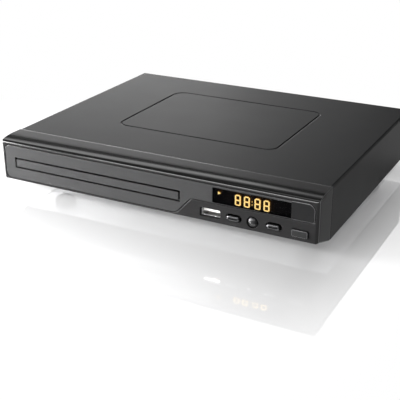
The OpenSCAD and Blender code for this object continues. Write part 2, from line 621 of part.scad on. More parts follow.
// --- Loader ---
module loader_frame() color("#26272a") seated() difference() {
    union() {
        for (s = [-1, 1]) {
            inside = tray_x + s*loader_in;
            edge = tray_x + s*(loader_in + loader_wall/2);
            block([edge - loader_wall/2, edge + loader_wall/2], loader_y, [floor_z, loader_top]);
            ledge = s < 0 ? [inside - eps, inside + rail_w] : [inside - rail_w, inside + eps];
            block(ledge, loader_y, [ledge_z - 1.7, ledge_z]);
            lip = s < 0 ? [inside - eps, inside + 2] : [inside - 2, inside + eps];
            for (y = [[loader_y[0], loader_y[0] + 26], [disc_y + 24, tray_end]])
                block(lip, y, [guide_z, loader_top]);
        }
        block([tray_x - loader_out, tray_x + loader_out], [loader_y[0], loader_y[0] + 3],
            [floor_z, slot_z - 0.5]);
        block([tray_x - loader_out, tray_x + loader_out], [loader_y[1] - 3, loader_y[1]],
            [floor_z, ledge_z - 1]);
        block([tray_x - loader_out, tray_x + loader_out], [loader_y[0], deck_end], [deck_lo, deck_hi]);
        for (at = [drive_at, middle_at, pulley_at]) post(at, post_r + 1.4, [deck_hi - eps, low_z - 0.1]);
        post(drive_at, post_r, [deck_hi - eps, high_z + gear_h]);
        for (at = [middle_at, pulley_at]) post(at, post_r, [deck_hi - eps, high_z + gear_h + 0.6]);
        // Ears that take the lifter frame's trunnions, and feet on the floor.
        for (s = [-1, 1]) block([tray_x + s*(lifter_w + 3.4) - 2.6, tray_x + s*(lifter_w + 3.4) + 2.6],
            [pivot.x - 4, loader_y[1] - 2], [floor_z, pivot.y + 4.4]);
        for (at = ear_at) block([at.x - 5, at.x + 5], [at.y - 4, at.y + 4], [floor_z, floor_z + 2]);
    }
    translate([tray_x - lifter_w - 10, pivot.x, pivot.y]) rotate([0, 90, 0])
        cylinder(r = trunnion_r + run, h = 2*lifter_w + 20);
    post(motor_at, motor_r + 0.2, [deck_lo - 1, deck_hi + 1]);
    // Room for the bezel's sloping underside.
    along_x([-half_w, half_w]) polygon([[-1, -1], [bezel_d + 0.2, -1], [bezel_d + 0.2, skin + 0.3],
        [chin_d, skin + 0.3],
        [skin, chin_h + skin*0.6 + 0.3], [-1, chin_h + skin*0.6 + 0.3]]);
    for (at = ear_at) post(at, 1.4, [0, floor_z + 3]);
    for (at = bridge_screws) post(at, 0.9, [loader_top - 5, loader_top + 1]);
}

module clamp_bridge() color("#b4b5b8") seated() difference() {
    union() {
        block([tray_x - loader_out, tray_x + loader_out], bridge_y, [bridge_z, bridge_z + 1.2]);
        for (s = [-1, 1], x = tray_x + s*(loader_out - loader_wall/2))
            block([x - loader_wall/2, x + loader_wall/2],
            bridge_y, [loader_top, bridge_z + eps]);
        for (y = bridge_y, edge = y - (y > disc_y ? 1.2 : 0))
            block([tray_x - loader_in + 4, tray_x + loader_in - 4], [edge, edge + 1.2],
            [bridge_z, bridge_z + 2.6]);
    }
    post([tray_x, disc_y], bridge_hole, [bridge_z - 1, bridge_z + 2]);
    for (s = [-1, 1]) post([tray_x + s*38, disc_y], 9, [bridge_z - 1, bridge_z + 2]);
    for (at = bridge_screws) post(at, 1, [loader_top - 1, bridge_z + 2]);
}

clamp_lo = deck_z + 0.4;
module clamper() color("#d8d8da") seated() translate([tray_x, disc_y, 0]) rotate_extrude() polygon([
    [cone_r + 0.9, clamp_lo], [14.5, clamp_lo], [14.5, clamp_lo + 2.4], [bridge_hole - 0.8, clamp_lo + 3],
    [bridge_hole - 0.8, bridge_z + 1.3], [14.5, bridge_z + 1.3], [14.5, bridge_z + 2.4], [9, bridge_z + 3.6],
    [0, bridge_z + 3.6], [0, clamp_lo + 2.8], [cone_r + 0.9, clamp_lo + 2.8]]);

module loading_motor() color("#b0b0b4") seated() {
    post(motor_at, motor_r, [1.2, deck_hi + 1.6]);
    post(motor_at, 3, [deck_hi + 1.6, deck_hi + 2.1]);
}
module grooved(r, z, h) translate([0, 0, z]) rotate_extrude()
    polygon([[post_r + run, 0], [r + 0.7, 0], [r + 0.7, 0.4], [r, 0.7],
        [r, h - 0.7], [r + 0.7, h - 0.4], [r + 0.7, h], [post_r + run, h]]);
module motor_pulley() color("#e8e6df") seated() {
    translate([motor_at.x, motor_at.y, 0]) {
        difference() {
            translate([0, 0, high_z]) rotate_extrude() polygon([[0, 0], [3.7, 0], [3.7, 0.4], [3, 0.7],
                [3, 1.9], [3.7, 2.2], [3.7, 2.6], [0, 2.6]]);
            translate([0, 0, high_z - 1]) cylinder(r = 1, h = 5);
        }
        translate([0, 0, deck_hi + 2.2]) cylinder(r = 1, h = high_z + 3 - deck_hi - 2.2);
    }
}
// The belt lies in both grooves and runs straight between them.
module drive_belt() color("#1a1a1a") seated() translate([motor_at.x, motor_at.y, high_z + 0.7])
    linear_extrude(belt_w)
    difference() {
        polygon(capsule(pulley_at - motor_at, motor_pulley_r + belt_gap + belt_t,
            pulley_r + belt_gap + belt_t));
        polygon(capsule(pulley_at - motor_at, motor_pulley_r + belt_gap, pulley_r + belt_gap));
    }

// Involute gear with z teeth and one tooth centred at the angle turn.
function involute(rb, a) = rb*[cos(a) + a*PI/180*sin(a), sin(a) - a*PI/180*cos(a)];
module gear2d(z, turn) {
    r = z*gear_m/2;
    rb = r*cos(20);
    tip = r + addendum*gear_m;
    root = r - dedendum*gear_m;
    base = max(rb, root);
    open = sqrt(pow(tip/rb, 2) - 1)*180/PI;
    start = sqrt(max(pow(base/rb, 2) - 1, 0))*180/PI;
    half = 90/z - backlash/r*90/PI + (tan(20)*180/PI - 20);
    flank = [for (i = [0:4]) let (p = involute(rb, start + (open - start)*i/4)) [norm(p), atan2(p.y, p.x)]];
    polygon([for (k = [0:z - 1]) let (c = turn + 360*k/z) each concat(
        [root*[cos(c - half), sin(c - half)]],
        [for (f = flank) f[0]*[cos(c - half + f[1]), sin(c - half + f[1])]],
        [for (i = [4:-1:0]) flank[i][0]*[cos(c + half - flank[i][1]), sin(c + half - flank[i][1])]],
        [root*[cos(c + half), sin(c + half)]])]);
}
module wheel(z, turn, lo, hi, bore) translate([0, 0, lo]) linear_extrude(hi - lo) difference() {
    gear2d(z, turn);
    circle(bore);
}
// Turn of a gear that meshes with a gear of z1 teeth turned to t1, seen from that gear in direction dir.
function meshed(z1, t1, z2, dir) = dir + 180 + 180/z2 - (t1 - dir)*z1/z2;
drive_turn = 180;
drive_big_turn = 0;
middle_turn = meshed(drive_big, drive_big_turn, middle_teeth, middle_dir);
middle_big_turn = 0;
pulley_turn = meshed(middle_big, middle_big_turn, pulley_teeth, pulley_dir);
bore_r = post_r + run;
module drive_gear() color("#e9e4d4") seated() translate([drive_at.x, drive_at.y, 0]) difference() {
    union() {
        wheel(drive_big, drive_big_turn, high_z, high_z + gear_h, bore_r);
        wheel(drive_teeth, drive_turn, high_z + gear_h, rack_z[1] - 0.4, bore_r);
        translate([0, 0, low_z]) difference() {
            cylinder(r = collar_r, h = high_z - low_z + eps);
            translate([0, 0, -1]) cylinder(r = bore_r, h = 5);
        }
    }
}
module middle_gear() color("#f1efe6") seated() translate([middle_at.x, middle_at.y, 0]) {
    wheel(middle_big, middle_big_turn, low_z, low_z + gear_h, bore_r);
    wheel(middle_teeth, middle_turn, low_z + gear_h, high_z + gear_h, bore_r);
}
module pulley_gear() color("#dcd7c6") seated() translate([pulley_at.x, pulley_at.y, 0]) {
    wheel(pulley_teeth, pulley_turn, low_z, low_z + gear_h, bore_r);
    translate([0, 0, low_z + gear_h]) difference() {
        cylinder(r = post_r + 1.6, h = high_z - low_z - gear_h);
        translate([0, 0, -1]) cylinder(r = bore_r, h = 5);
    }
    grooved(pulley_r, high_z, 2.6);
}

// Cam slider: two sloping slots raise the lifter's pins as it moves to the right.
module cam_slider() color("#ded9ca") seated() difference() {
    block([tray_x - 44, tray_x + 32], cam_y, cam_z);
    along_y([cam_y[0] - 1, cam_y[1] + 1]) for (x = pin_x)
        translate([x, pin_z - pin_drop]) polygon(capsule([-cam_travel, pin_drop], pin_r + 0.3, pin_r + 0.3));
    block([tray_x - 16, tray_x + 4], [cam_y[0] - 1, cam_y[1] + 1], [cam_z[1] - 4, cam_z[1] + 1]);
}

// --- Tray ---
module tray() color("#1f1f21") seated() difference() {
    union() {
        block([tray_x - tray_w/2, tray_x + tray_w/2], [tray_y, tray_end], [disc_z - web, deck_z]);
        post([tray_x, disc_y], small_d/2 + web, [pan_z - web, disc_z]);
        for (s = [-1, 1], x = tray_x + s*(tray_w - rail_w)/2) block([x - rail_w/2, x + rail_w/2],
            [tray_y, tray_end], [tray_z, disc_z]);
        block([tray_x - tray_w/2, tray_x + tray_w/2], [tray_y, tray_y + 4], [tray_z, disc_z]);
        rack();
    }
    post([tray_x, disc_y], disc_d/2 + 0.3, [disc_z, deck_z + 1]);
    post([tray_x, disc_y], small_d/2, [pan_z, disc_z + 1]);
    post([tray_x, disc_y], hub_r, [0, deck_z + 1]);
    block([tray_x - hub_r, tray_x + hub_r], [disc_y, slot_end], [0, deck_z + 1]);
    block([tray_x - hub_r, tray_x + hub_r], [slot_end - 1, tray_end + 1], [0, disc_z]);
    // Finger scallops beside the disc.
    for (x = [-1, 1], y = [-1, 1]) post([tray_x, disc_y] + 0.37*disc_d*[x, y], 11, [disc_z, deck_z + 1]);
}
rack_y = [tray_y + 6, travel + drive_at.y + 3];
module rack() {
    pitch = PI*gear_m;
    h = gear_m*(addendum - 0.05);
    d = gear_m*dedendum;
    half = pitch/4 - backlash/2;
    last = floor((rack_y[1] - drive_at.y)/pitch - 0.5);
    first = ceil((rack_y[0] - drive_at.y)/pitch - 0.5);
    translate([0, 0, rack_z[0]]) linear_extrude(rack_z[1] - rack_z[0] + eps) {
        translate([rack_x - d - 2, rack_y[0] - 1]) square([2 + eps, rack_y[1] - rack_y[0] + 2]);
        for (i = [first:last]) let (y = drive_at.y + (i + 0.5)*pitch) polygon([
            [rack_x - d, y - half - d*tan(20)], [rack_x + h, y - half + h*tan(20)],
            [rack_x + h, y + half - h*tan(20)], [rack_x - d, y + half + d*tan(20)]]);
    }
}
module tray_door() color("#59575a") seated() {
    w = slot_w - 2*door_gap;
    h = slot_h - 2*door_gap;
    translate([tray_x, 0, slot_z + slot_h/2]) along_y([0, door_t]) slab2d(w, h, 0.5);
}

// --- Lifter frame and mechanism, drawn level ---
module lifter_frame() color("#2b2c30") seated() lowered() difference() {
    union() {
        difference() {
            block([tray_x - lifter_w, tray_x + lifter_w], lifter_y, lifter_z);
            block([tray_x - lifter_w + 2.4, tray_x + lifter_w - 2.4], lifter_y + [2.4, -2.4],
                lifter_z + [-1, 1]);
        }
        for (at = damper_at) block([at.x - 5.2, at.x + 5.2], [at.y - 5, at.y + 5],
            [lifter_z[0], lifter_z[0] + 1.4]);
        for (s = [-1, 1]) translate([tray_x + s*(lifter_w + 3.4), pivot.x, pivot.y]) rotate([0, 90, 0])
            cylinder(r = trunnion_r, h = 7, center = true);
        for (x = pin_x) rod_y(x, pin_z, pin_r, [cam_y[0] + 0.4, lifter_y[0] + 1]);
        // Trunnion lugs reach below the frame.
        for (s = [-1, 1]) block([tray_x + s*(lifter_w - 1.2) - 1.2, tray_x + s*(lifter_w - 1.2) + 1.2],
            [pivot.x - 3, lifter_y[1]], [pivot.y - 3, lifter_z[0] + 1]);
    }
    for (at = damper_at) post(at, 1.2, [0, 20]);
}
module rubber_dampers() color("#3a3a3e") seated() lowered() for (at = damper_at) difference() {
    post(at, 3.4, [lifter_z[0] + 1.4, plate_z[0]]);
    post(at, 1.2, [0, 20]);
}
module mech_chassis() color("#aeb0b4") seated() lowered() difference() {
    union() {
        block([tray_x - 42, tray_x + 42], plate_y, plate_z);
        for (s = [-1, 1], x = tray_x + s*rod_x, y = [rod_y[0], rod_y[1] - 3])
            block([x - 3, x + 3], [y, y + 3], [rod_z - 2.6, plate_z[0] + eps]);
        block([screw_x - 3, screw_x + 3], [rod_y[0], rod_y[0] + 3], [rod_z - 2.6, plate_z[0] + eps]);
        // Turned-up flange across the front.
        block([tray_x - 42, tray_x + 42], [plate_y[0], plate_y[0] + 1.2], [plate_z[0], plate_z[1] + 1.4]);
    }
    post([tray_x, disc_y], 5, [0, 20]);
    block([tray_x - sled_w - 1.5, tray_x + sled_w + 1.5], [lens_y - 10, lens_y + sled_travel + 10],
        [plate_z[0] - eps, 20]);
    for (s = [-1, 1]) rod_y(tray_x + s*rod_x, rod_z, rod_r, [0, body_d]);
    rod_y(screw_x, rod_z, rod_r + run, [0, rod_y[0] + 4]);
    block([screw_x - 5.6, screw_x + 5.6], [sled_motor_y, plate_y[1] - 9.7], [0, 20]);
    for (at = damper_at) post(at, 1.2, [0, 20]);
}
module spindle_motor() color("#c3c4c8") seated() lowered() difference() {
    union() {
        post([tray_x, disc_y], 12, [9.4, plate_z[0]]);
        post([tray_x, disc_y], 4.9, [plate_z[0] - eps, plate_z[1] + 0.5]);
    }
    post([tray_x, disc_y], shaft_r + run, [10, 20]);
}
module spindle_rotor() color("#8f9095") seated() lowered() {
    difference() {
        post([tray_x, disc_y], rotor_r, [plate_z[1] + 0.6, platform_z - 1.8]);
        post([tray_x, disc_y], rotor_r - 0.8, [plate_z[1], platform_z - 2.6]);
    }
    post([tray_x, disc_y], shaft_r, [10.4, platform_z + 0.4]);
}
module turntable() color("#1e1e20") seated() lowered() translate([tray_x, disc_y, 0])
    rotate_extrude() polygon([
    [shaft_r, platform_z - 1.8], [6, platform_z - 1.8], [6, platform_z], [platform_r, platform_z],
    [platform_r, platform_z + 1.5], [cone_r, platform_z + 1.5],
    [cone_r, platform_z + 2.8], [5, platform_z + 3.7],
    [2, platform_z + 3.7], [2, platform_z + 1], [shaft_r, platform_z + 1]]);
module guide_rods() color("#d9dadd") seated() lowered()
    for (s = [-1, 1]) rod_y(tray_x + s*rod_x, rod_z, rod_r, rod_y);
module sled_motor() color("#a8a9ad") seated() lowered() {
    rod_y(screw_x, rod_z, sled_motor_r, [sled_motor_y, plate_y[1] - 10]);
    // Mounting plate on its nose, fixed under the chassis plate.
    block([screw_x - 5, screw_x + 4.6], [sled_motor_y - 1, sled_motor_y + eps], [rod_z - 4, plate_z[0]]);
}
module sled_screw() color("#cfcfd4") seated() lowered()
    rod_y(screw_x, rod_z, rod_r, [rod_y[0] - 0.5, sled_motor_y - 1.1]);
module pickup_sled() color("#3c3e44") seated() lowered() difference() {
    union() {
        block([tray_x - sled_w, tray_x + sled_w], [lens_y - 9, lens_y + 9], [9.4, 15.4]);
        for (y = [lens_y - 8, lens_y + 3])
            block([tray_x - rod_x - 3, tray_x - sled_w + eps], [y, y + 5], [rod_z - 2.4, rod_z + 1.9]);
        block([tray_x + sled_w - eps, tray_x + rod_x + 3], [lens_y - 3, lens_y + 3],
            [rod_z - 2.4, rod_z + 1.9]);
        // Arm that follows the screw.
        block([screw_x - 2.6, tray_x - sled_w - 2], [lens_y - 15, lens_y - 9.5], [rod_z - 2.2, rod_z + 1.7]);
        block([tray_x - rod_x - 2.6, tray_x - sled_w + eps], [lens_y - 15, lens_y - 6],
            [rod_z - 2.2, rod_z + 1.7]);
    }
    for (s = [-1, 1]) rod_y(tray_x + s*rod_x, rod_z, rod_r + run, [0, body_d]);
    rod_y(screw_x, rod_z, rod_r + run, [0, body_d]);
    // Well round the lens actuator.
    block([tray_x - 9, tray_x + 9], [lens_y - 7.5, lens_y + 7.5], [13, 20]);
}
module lens_holder() color("#1a1a1c") seated() lowered() {
    block([tray_x - 7, tray_x + 7], [lens_y - 5, lens_y + 5], [13.8, 16.6]);
    post([tray_x, lens_y], 3.6, [16.6 - eps, 17.4]);
}
module objective_lens() color("#7f9bd0") seated() lowered() translate([tray_x, lens_y, 0]) rotate_extrude()
    polygon(concat([[0, 17.4], [2.4, 17.4]], arc([0, 15.6], 3.2, 48, 90, 5)));

// --- Buttons: a cap, a flange behind the bezel's wall and a stem that reaches the switch ---
module key(at, size, gap) seated() translate([at.x, 0, at.y]) {
    along_y([-cap_out, skin + 0.3 + eps]) children();
    along_y([skin + 0.3, skin + 0.3 + flange_t])
        slab2d(size.x + 2*(gap + flange_lap), size.y + 2*gap + flange_rise, 0.8);
    rod_y(0, button_z - at.y, 1.6, [skin, stem_y]);
}
module eject_button() color("#3b3a3c") key([pill_x[0], button_z], [pill_w, pill_h], pill_gap) pill2d();
module play_button() color("#3b3a3c") key([round_x, button_z], [round_d, round_d], key_gap) circle(round_d/2);
module stop_button() color("#3b3a3c") key([pill_x[1], button_z], [pill_w, pill_h], pill_gap) pill2d();
module power_button() color("#444244") key([slab_x, slab_z], [slab_w, slab_h], key_gap) slab_key2d();

front_bezel();
fascia_plate();
display_window();
display_module();
display_digits();
front_board();
tact_switches();
usb_socket();
usb_tongue();
ir_receiver();
top_cover();
chassis_base();
rear_panel();
rubber_feet();
cover_screws();
board_screws();
loader_screws();
main_board();
board_components();
hdmi_socket();
av_jack_body();
av_jack_barrels();
av_jack_inserts();
mains_inlet();
mains_pins();
power_board();
transformer();
capacitors();
heatsink();
front_ribbon();
loader_frame();
clamp_bridge();
clamper();
loading_motor();
motor_pulley();
drive_belt();
pulley_gear();
middle_gear();
drive_gear();
cam_slider();
tray();
tray_door();
lifter_frame();
rubber_dampers();
mech_chassis();
spindle_motor();
spindle_rotor();
turntable();
guide_rods();
sled_motor();
sled_screw();
pickup_sled();
lens_holder();
objective_lens();
eject_button();
play_button();
stop_button();
power_button();
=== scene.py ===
"""Looks of the disc player with its tray: moulded front, folded cover, keys, sockets, finishes and studio."""

import json
import math

import bmesh
import bpy
import numpy as np
from mathutils import Matrix, Vector
from mathutils.geometry import tessellate_polygon


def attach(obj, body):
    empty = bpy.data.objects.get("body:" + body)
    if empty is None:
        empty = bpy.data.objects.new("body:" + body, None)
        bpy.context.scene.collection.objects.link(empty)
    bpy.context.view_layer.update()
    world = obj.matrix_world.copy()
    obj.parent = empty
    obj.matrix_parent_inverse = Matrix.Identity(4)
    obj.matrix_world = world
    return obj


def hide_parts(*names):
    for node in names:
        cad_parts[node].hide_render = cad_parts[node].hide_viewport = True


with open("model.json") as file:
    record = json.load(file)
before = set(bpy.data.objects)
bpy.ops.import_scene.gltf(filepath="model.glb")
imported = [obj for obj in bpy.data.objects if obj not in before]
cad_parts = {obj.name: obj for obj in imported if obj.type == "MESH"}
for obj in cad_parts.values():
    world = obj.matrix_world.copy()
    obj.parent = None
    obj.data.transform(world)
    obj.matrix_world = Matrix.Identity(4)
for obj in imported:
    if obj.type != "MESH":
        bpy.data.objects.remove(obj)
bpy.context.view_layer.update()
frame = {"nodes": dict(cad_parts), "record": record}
scene = bpy.context.scene
slot_of = {part["node"]: part["material_slot"] for part in frame["record"]["subparts"]}

# --- Sizes in mm: X from the player's middle, Y back from the bezel's face, Z up from the cover's edge ---
FRONT_AT = -96.8                # the bezel's face in the frame
FEET = 3.5                      # the cover's lower edge above the ground
HALF_W, DEPTH, HEIGHT = 115.0, 187.0, 34.5

BEZEL_D = 21.0
SKIN = 2.4                      # wall of the bezel
CHIN = 5.7                      # the front face starts this high
CHIN_D = 19.5                   # the sloping underside ends here
CHIN_R = 0.6
CHIN_INSIDE = CHIN + 0.6 * SKIN
NOSE_R = 2.5
CROWN_R = 38.0
CROWN_D = 12.0
NOSE_TURN = math.degrees(math.asin((CROWN_D - NOSE_R) / (CROWN_R - NOSE_R)))
BROW = HEIGHT - CROWN_R + (CROWN_R - NOSE_R) * math.cos(math.radians(NOSE_TURN))
CORNER_R = 2.2                  # upright front corners
END_R = 0.45                    # rounding of the edges of the bezel's two ends
LOW_R = 2.0                     # their rounding at the front of the underside
LOW_RUN = (CORNER_R + 1, BEZEL_D - 2)       # it falls from LOW_R to END_R between these depths
ROLL, ROLL_D = 1.6, 0.09        # the bezel falls away gently towards the seam with the cover
SEAM_R = 0.12                   # rounding of the edge at the seam
EDGE = 0.18                     # broken edge of a moulded opening
LIP_W, LIP_D = 0.7, 0.5         # rounded lip of the recess round the fascia
LIP_INSIDE = 0.03               # the lip stays this far inside the flat front
LACQUER = (34.6, 35.2)          # the lacquer fades in between these heights above the ground
LEVEL = (8.0, 11.0)             # and out again between these depths, on the level part of the top
SEAM_LINE = 20.6                # from here to the seam it comes back

FASCIA_T = 1.2
FASCIA_EDGE = 0.6
GROOVE = 0.3                    # gap between the fascia and the recess
STEP_Z, STEP_X = 18.5, HALF_W - 80.6
STEP_RAMP = (13.6, 3.0)         # the ramp to the step starts and ends this far left of STEP_X
FASCIA_X = (-112.3, 112.3)
FASCIA_Z = (6.9, BROW - 0.5)
FASCIA_RADII = (3.4, 6, 4, 2, 4.4, 4)
SLOT = (-40.15, 18.45, 127.9, 7.5, 0.3)     # middle in X and Z, width, height, corner radius
WINDOW = (72.0, 23.85, 51.4, 9.9, 0.2)
WIDER = 0.7                     # growth of the window's opening through each of its two walls
SMOKED_X = 97.5                 # the fascia's smoked end starts here
DOOR_DROP = 0.12                # the door's middle lies this far below the slot's
DOOR_GAPS = (2.0, 2.24)         # the door is this much narrower and lower than the slot
DOOR_T, DOOR_R, DOOR_EDGE = 2.6, 0.5, 0.3

USB = (44.75, 11.3, 13.1, 5.1, 0.5)
USB_GAP = 0.4
USB_WALL = 0.3
USB_D = (1.9, 13.6)             # the shell's front and back
TONGUE_D = (2.6, 10.6, 12.5)    # the tongue's front, and front and back of the block that holds it
TONGUE_RISE, TONGUE, TONGUE_R = 1.05, (11.2, 1.8, 0.3), 0.25

BUTTON_Z = 11.1
CAP_OUT = 1.1                   # the caps stand out this far
KEY_GAP = 0.45
PILLS_X = (60.6, 86.8)
PILL = (9.0, 3.8)
PILL_GAP = 0.58
PILL_OFF = 0.27                 # the pill's opening lies this much further right and up than its cap
PILL_BAR = 1.3                  # the bar sunk into its face starts this far inside its edge
BAR_SINK = 0.35                 # and ends this far below the cap's face
PILL_SHOULDER, ROUND_SHOULDER = 0.5, 1.4    # the domes start this far behind the bezel's face
ROUND_X, ROUND_R = 73.2, 3.4
SLAB_X, SLAB_Z, SLAB = 103.6, 10.5, (9.9, 4.3, 0.7)
SLAB_EDGE = 0.4
FLANGE_LAP, FLANGE_RISE, FLANGE_R = 0.6, 0.1, 0.8
FLANGE_D = (SKIN + 0.3, SKIN + 1.4)
STEM_R, STEM_END = 1.6, 7.4

SEGMENT_D = (3.5, 3.9)          # front and back of the lit segments
DIGIT_W, DIGIT_H, STROKE = 3.98, 7.3, 0.92
DIGITS_X = (-10.37, -4.42, 2.58, 8.43)      # middles of the digits from the window's middle
DIGITS_Z = WINDOW[1] - 2.07
COLON_X, COLON_Z, DOT = -0.92, (-1.1, 0.9), (0.6, 0.62)
MARK_X, MARK = -23.6, ((0, 1.4), (1.9, 2.4), (0, 3.4))      # the play mark's place and corners

SHEET = 0.8                     # thickness of the cover
BEND_R = 1.6
COVER_EDGE, REAR_R = 0.2, 0.5   # rounding of its front and rear edges
LIP = 8.0                       # height of its rear lip
SEAM = 0.12                     # gap between bezel and cover
BEAD = (60.3, 60.8, 150.5, 8.0)             # half width, front, back, corner radius of the pressed line
BEAD_W, BEAD_D = 1.9, 0.4
SCREWS_X, SCREW_R = (-80.5, 0.0, 80.5), 1.6
HOOKS_X, HOOK_HALF = (-68, 0, 68), 6
HOOK_Y = (BEZEL_D - 5, BEZEL_D + 1.4)
HOOK_Z = (HEIGHT - SKIN - 0.9, HEIGHT - SKIN - 0.1)

# --- Camera: place in metres, azimuth, elevation and roll in degrees, lens and film in mm ---
CAMERA_AT = (0.26394, -0.52302, 0.23253)
CAMERA_TURN = (27.933, 23.547, -0.291)
LENS, FILM = 77.655, 36


def set_camera():
    """The camera's axes: ahead from azimuth and elevation, then right and up turned by the roll."""
    azimuth, elevation, roll = (math.radians(a) for a in CAMERA_TURN)
    level = np.array([-math.sin(azimuth), math.cos(azimuth), 0])
    ahead = level * math.cos(elevation) - np.array([0, 0, math.sin(elevation)])
    right = np.array([math.cos(azimuth), math.sin(azimuth), 0])
    up = np.cross(right, ahead)
    place = np.eye(4)
    place[:3, 0] = math.cos(roll) * right + math.sin(roll) * up
    place[:3, 1] = -math.sin(roll) * right + math.cos(roll) * up
    place[:3, 2] = -ahead
    place[:3, 3] = CAMERA_AT
    data = bpy.data.cameras.new("camera")
    data.lens, data.sensor_width, data.clip_start, data.clip_end = LENS, FILM, 0.01, 50
    camera = bpy.data.objects.new("camera", data)
    camera.matrix_world = Matrix(place.tolist())
    scene.collection.objects.link(camera)
    scene.camera = camera


set_camera()


# --- Outlines: anticlockwise (x, z) arrays, each a function of how far it grows outwards ---
def arc(centre, r, start, end, n):
    """n + 1 points of a circle's arc: centre + r (cos a, sin a), a from start to end in degrees."""
    a = np.radians(np.linspace(start, end, n + 1))
    return np.stack([centre[0] + r * np.cos(a), centre[1] + r * np.sin(a)], 1)


def disc(x, z, r, n):
    """n points of a whole circle."""
    return arc((x, z), r, 0, 360, n)[:-1]


def panel(cx, cz, w, h, r, grow=0.0, n=6):
    """A rectangle w by h with corners of radius r, grown outwards: four quarter arcs and straight lines."""
    w, h, r = w + 2 * grow, h + 2 * grow, max(r + grow, 1e-3)
    corners = [(1, -1, -90), (1, 1, 0), (-1, 1, 90), (-1, -1, 180)]
    at = [(cx + x * (w / 2 - r), cz + z * (h / 2 - r)) for x, z, _ in corners]
    return np.concatenate([arc(c, r, a, a + 90, n) for c, (_, _, a) in zip(at, corners)])


def oblong(half, low, high):
    """A sharp rectangle that reaches half to each side of the middle, and from low to high."""
    return np.array([(-half, low), (half, low), (half, high), (-half, high)])


def bent_outline(corners, radii, grow=0.0, n=8):
    """An outline with rounded corners, grown by grow. Each corner moves along the bisector of its two sides
    and becomes an arc that touches both. As the outline grows, the radius grows at a corner that stands out
    and shrinks at one that turns inwards."""
    p = np.asarray(corners, float)
    unit = lambda v: v / np.linalg.norm(v)
    turn = lambda u, v: np.sign(u[0] * v[1] - u[1] * v[0])
    sides = list(zip(np.roll(p, 1, 0), p, np.roll(p, -1, 0)))
    bends = [turn(b - a, c - b) for a, b, c in sides]
    moved = []
    for (a, b, c), bend in zip(sides, bends):
        u, w = unit(a - b), unit(c - b)
        moved.append(b - bend * unit(u + w) * grow / math.sin(math.acos(u @ w) / 2))
    out = []
    for a, b, c, r, bend in zip(np.roll(moved, 1, 0), moved, np.roll(moved, -1, 0), radii, bends):
        u, w = unit(a - b), unit(c - b)
        half = math.acos(u @ w) / 2
        r = max(r + grow * bend, 1e-3)
        middle = b + unit(u + w) * r / math.sin(half)
        start, end = (b + side * r / math.tan(half) - middle for side in (u, w))
        a0, a1 = (math.degrees(math.atan2(v[1], v[0])) for v in (start, end))
        sweep = (a1 - a0 + 540) % 360 - 180
        out.append(arc(middle, r, a0, a0 + sweep, n))
    return np.concatenate(out)


def fascia_outline(grow=0.0):
    """Full height on the left, and above the step on the right."""
    (left, right), (low, high) = FASCIA_X, FASCIA_Z
    foot, head = (STEP_X - s for s in STEP_RAMP)
    corners = [(left, low), (foot, low), (head, STEP_Z), (right, STEP_Z), (right, high), (left, high)]
    return bent_outline(corners, FASCIA_RADII, grow)


def slot_outline(grow=0.0):
    """The opening for the tray: a rounded rectangle."""
    return panel(*SLOT, grow, 3)


def window_outline(grow=0.0):
    """The display's window: a rounded rectangle."""
    return panel(*WINDOW, grow, 2)


def usb_outline(grow=0.0):
    """The socket's shell: a rounded rectangle."""
    return panel(*USB, grow, 4)


def pill_outline(x, grow=0.0):
    """A long button: a rectangle with round ends."""
    return panel(x, BUTTON_Z, *PILL, PILL[1] / 2 - 0.01, grow, 12)


def pill_opening(x):
    """The outline of its opening, set off to the right and up."""
    return lambda grow: pill_outline(x, grow) + PILL_OFF


def round_outline(grow=0.0):
    """The round button."""
    return disc(ROUND_X, BUTTON_Z, ROUND_R + grow, 48)


def slab_outline(grow=0.0):
    """The flat button: a rounded rectangle."""
    return panel(SLAB_X, SLAB_Z, *SLAB, grow, 5)


# Openings with their growth: keys and socket, then slot and window behind the fascia and behind the bezel.
OUTLETS = [(usb_outline, USB_GAP), (pill_opening(PILLS_X[0]), PILL_GAP), (pill_opening(PILLS_X[1]), PILL_GAP),
           (round_outline, KEY_GAP), (slab_outline, KEY_GAP)]
WINDOWS_FRONT = [(slot_outline, 0), (window_outline, WIDER)]
WINDOWS_BACK = [(slot_outline, 0), (window_outline, 2 * WIDER)]


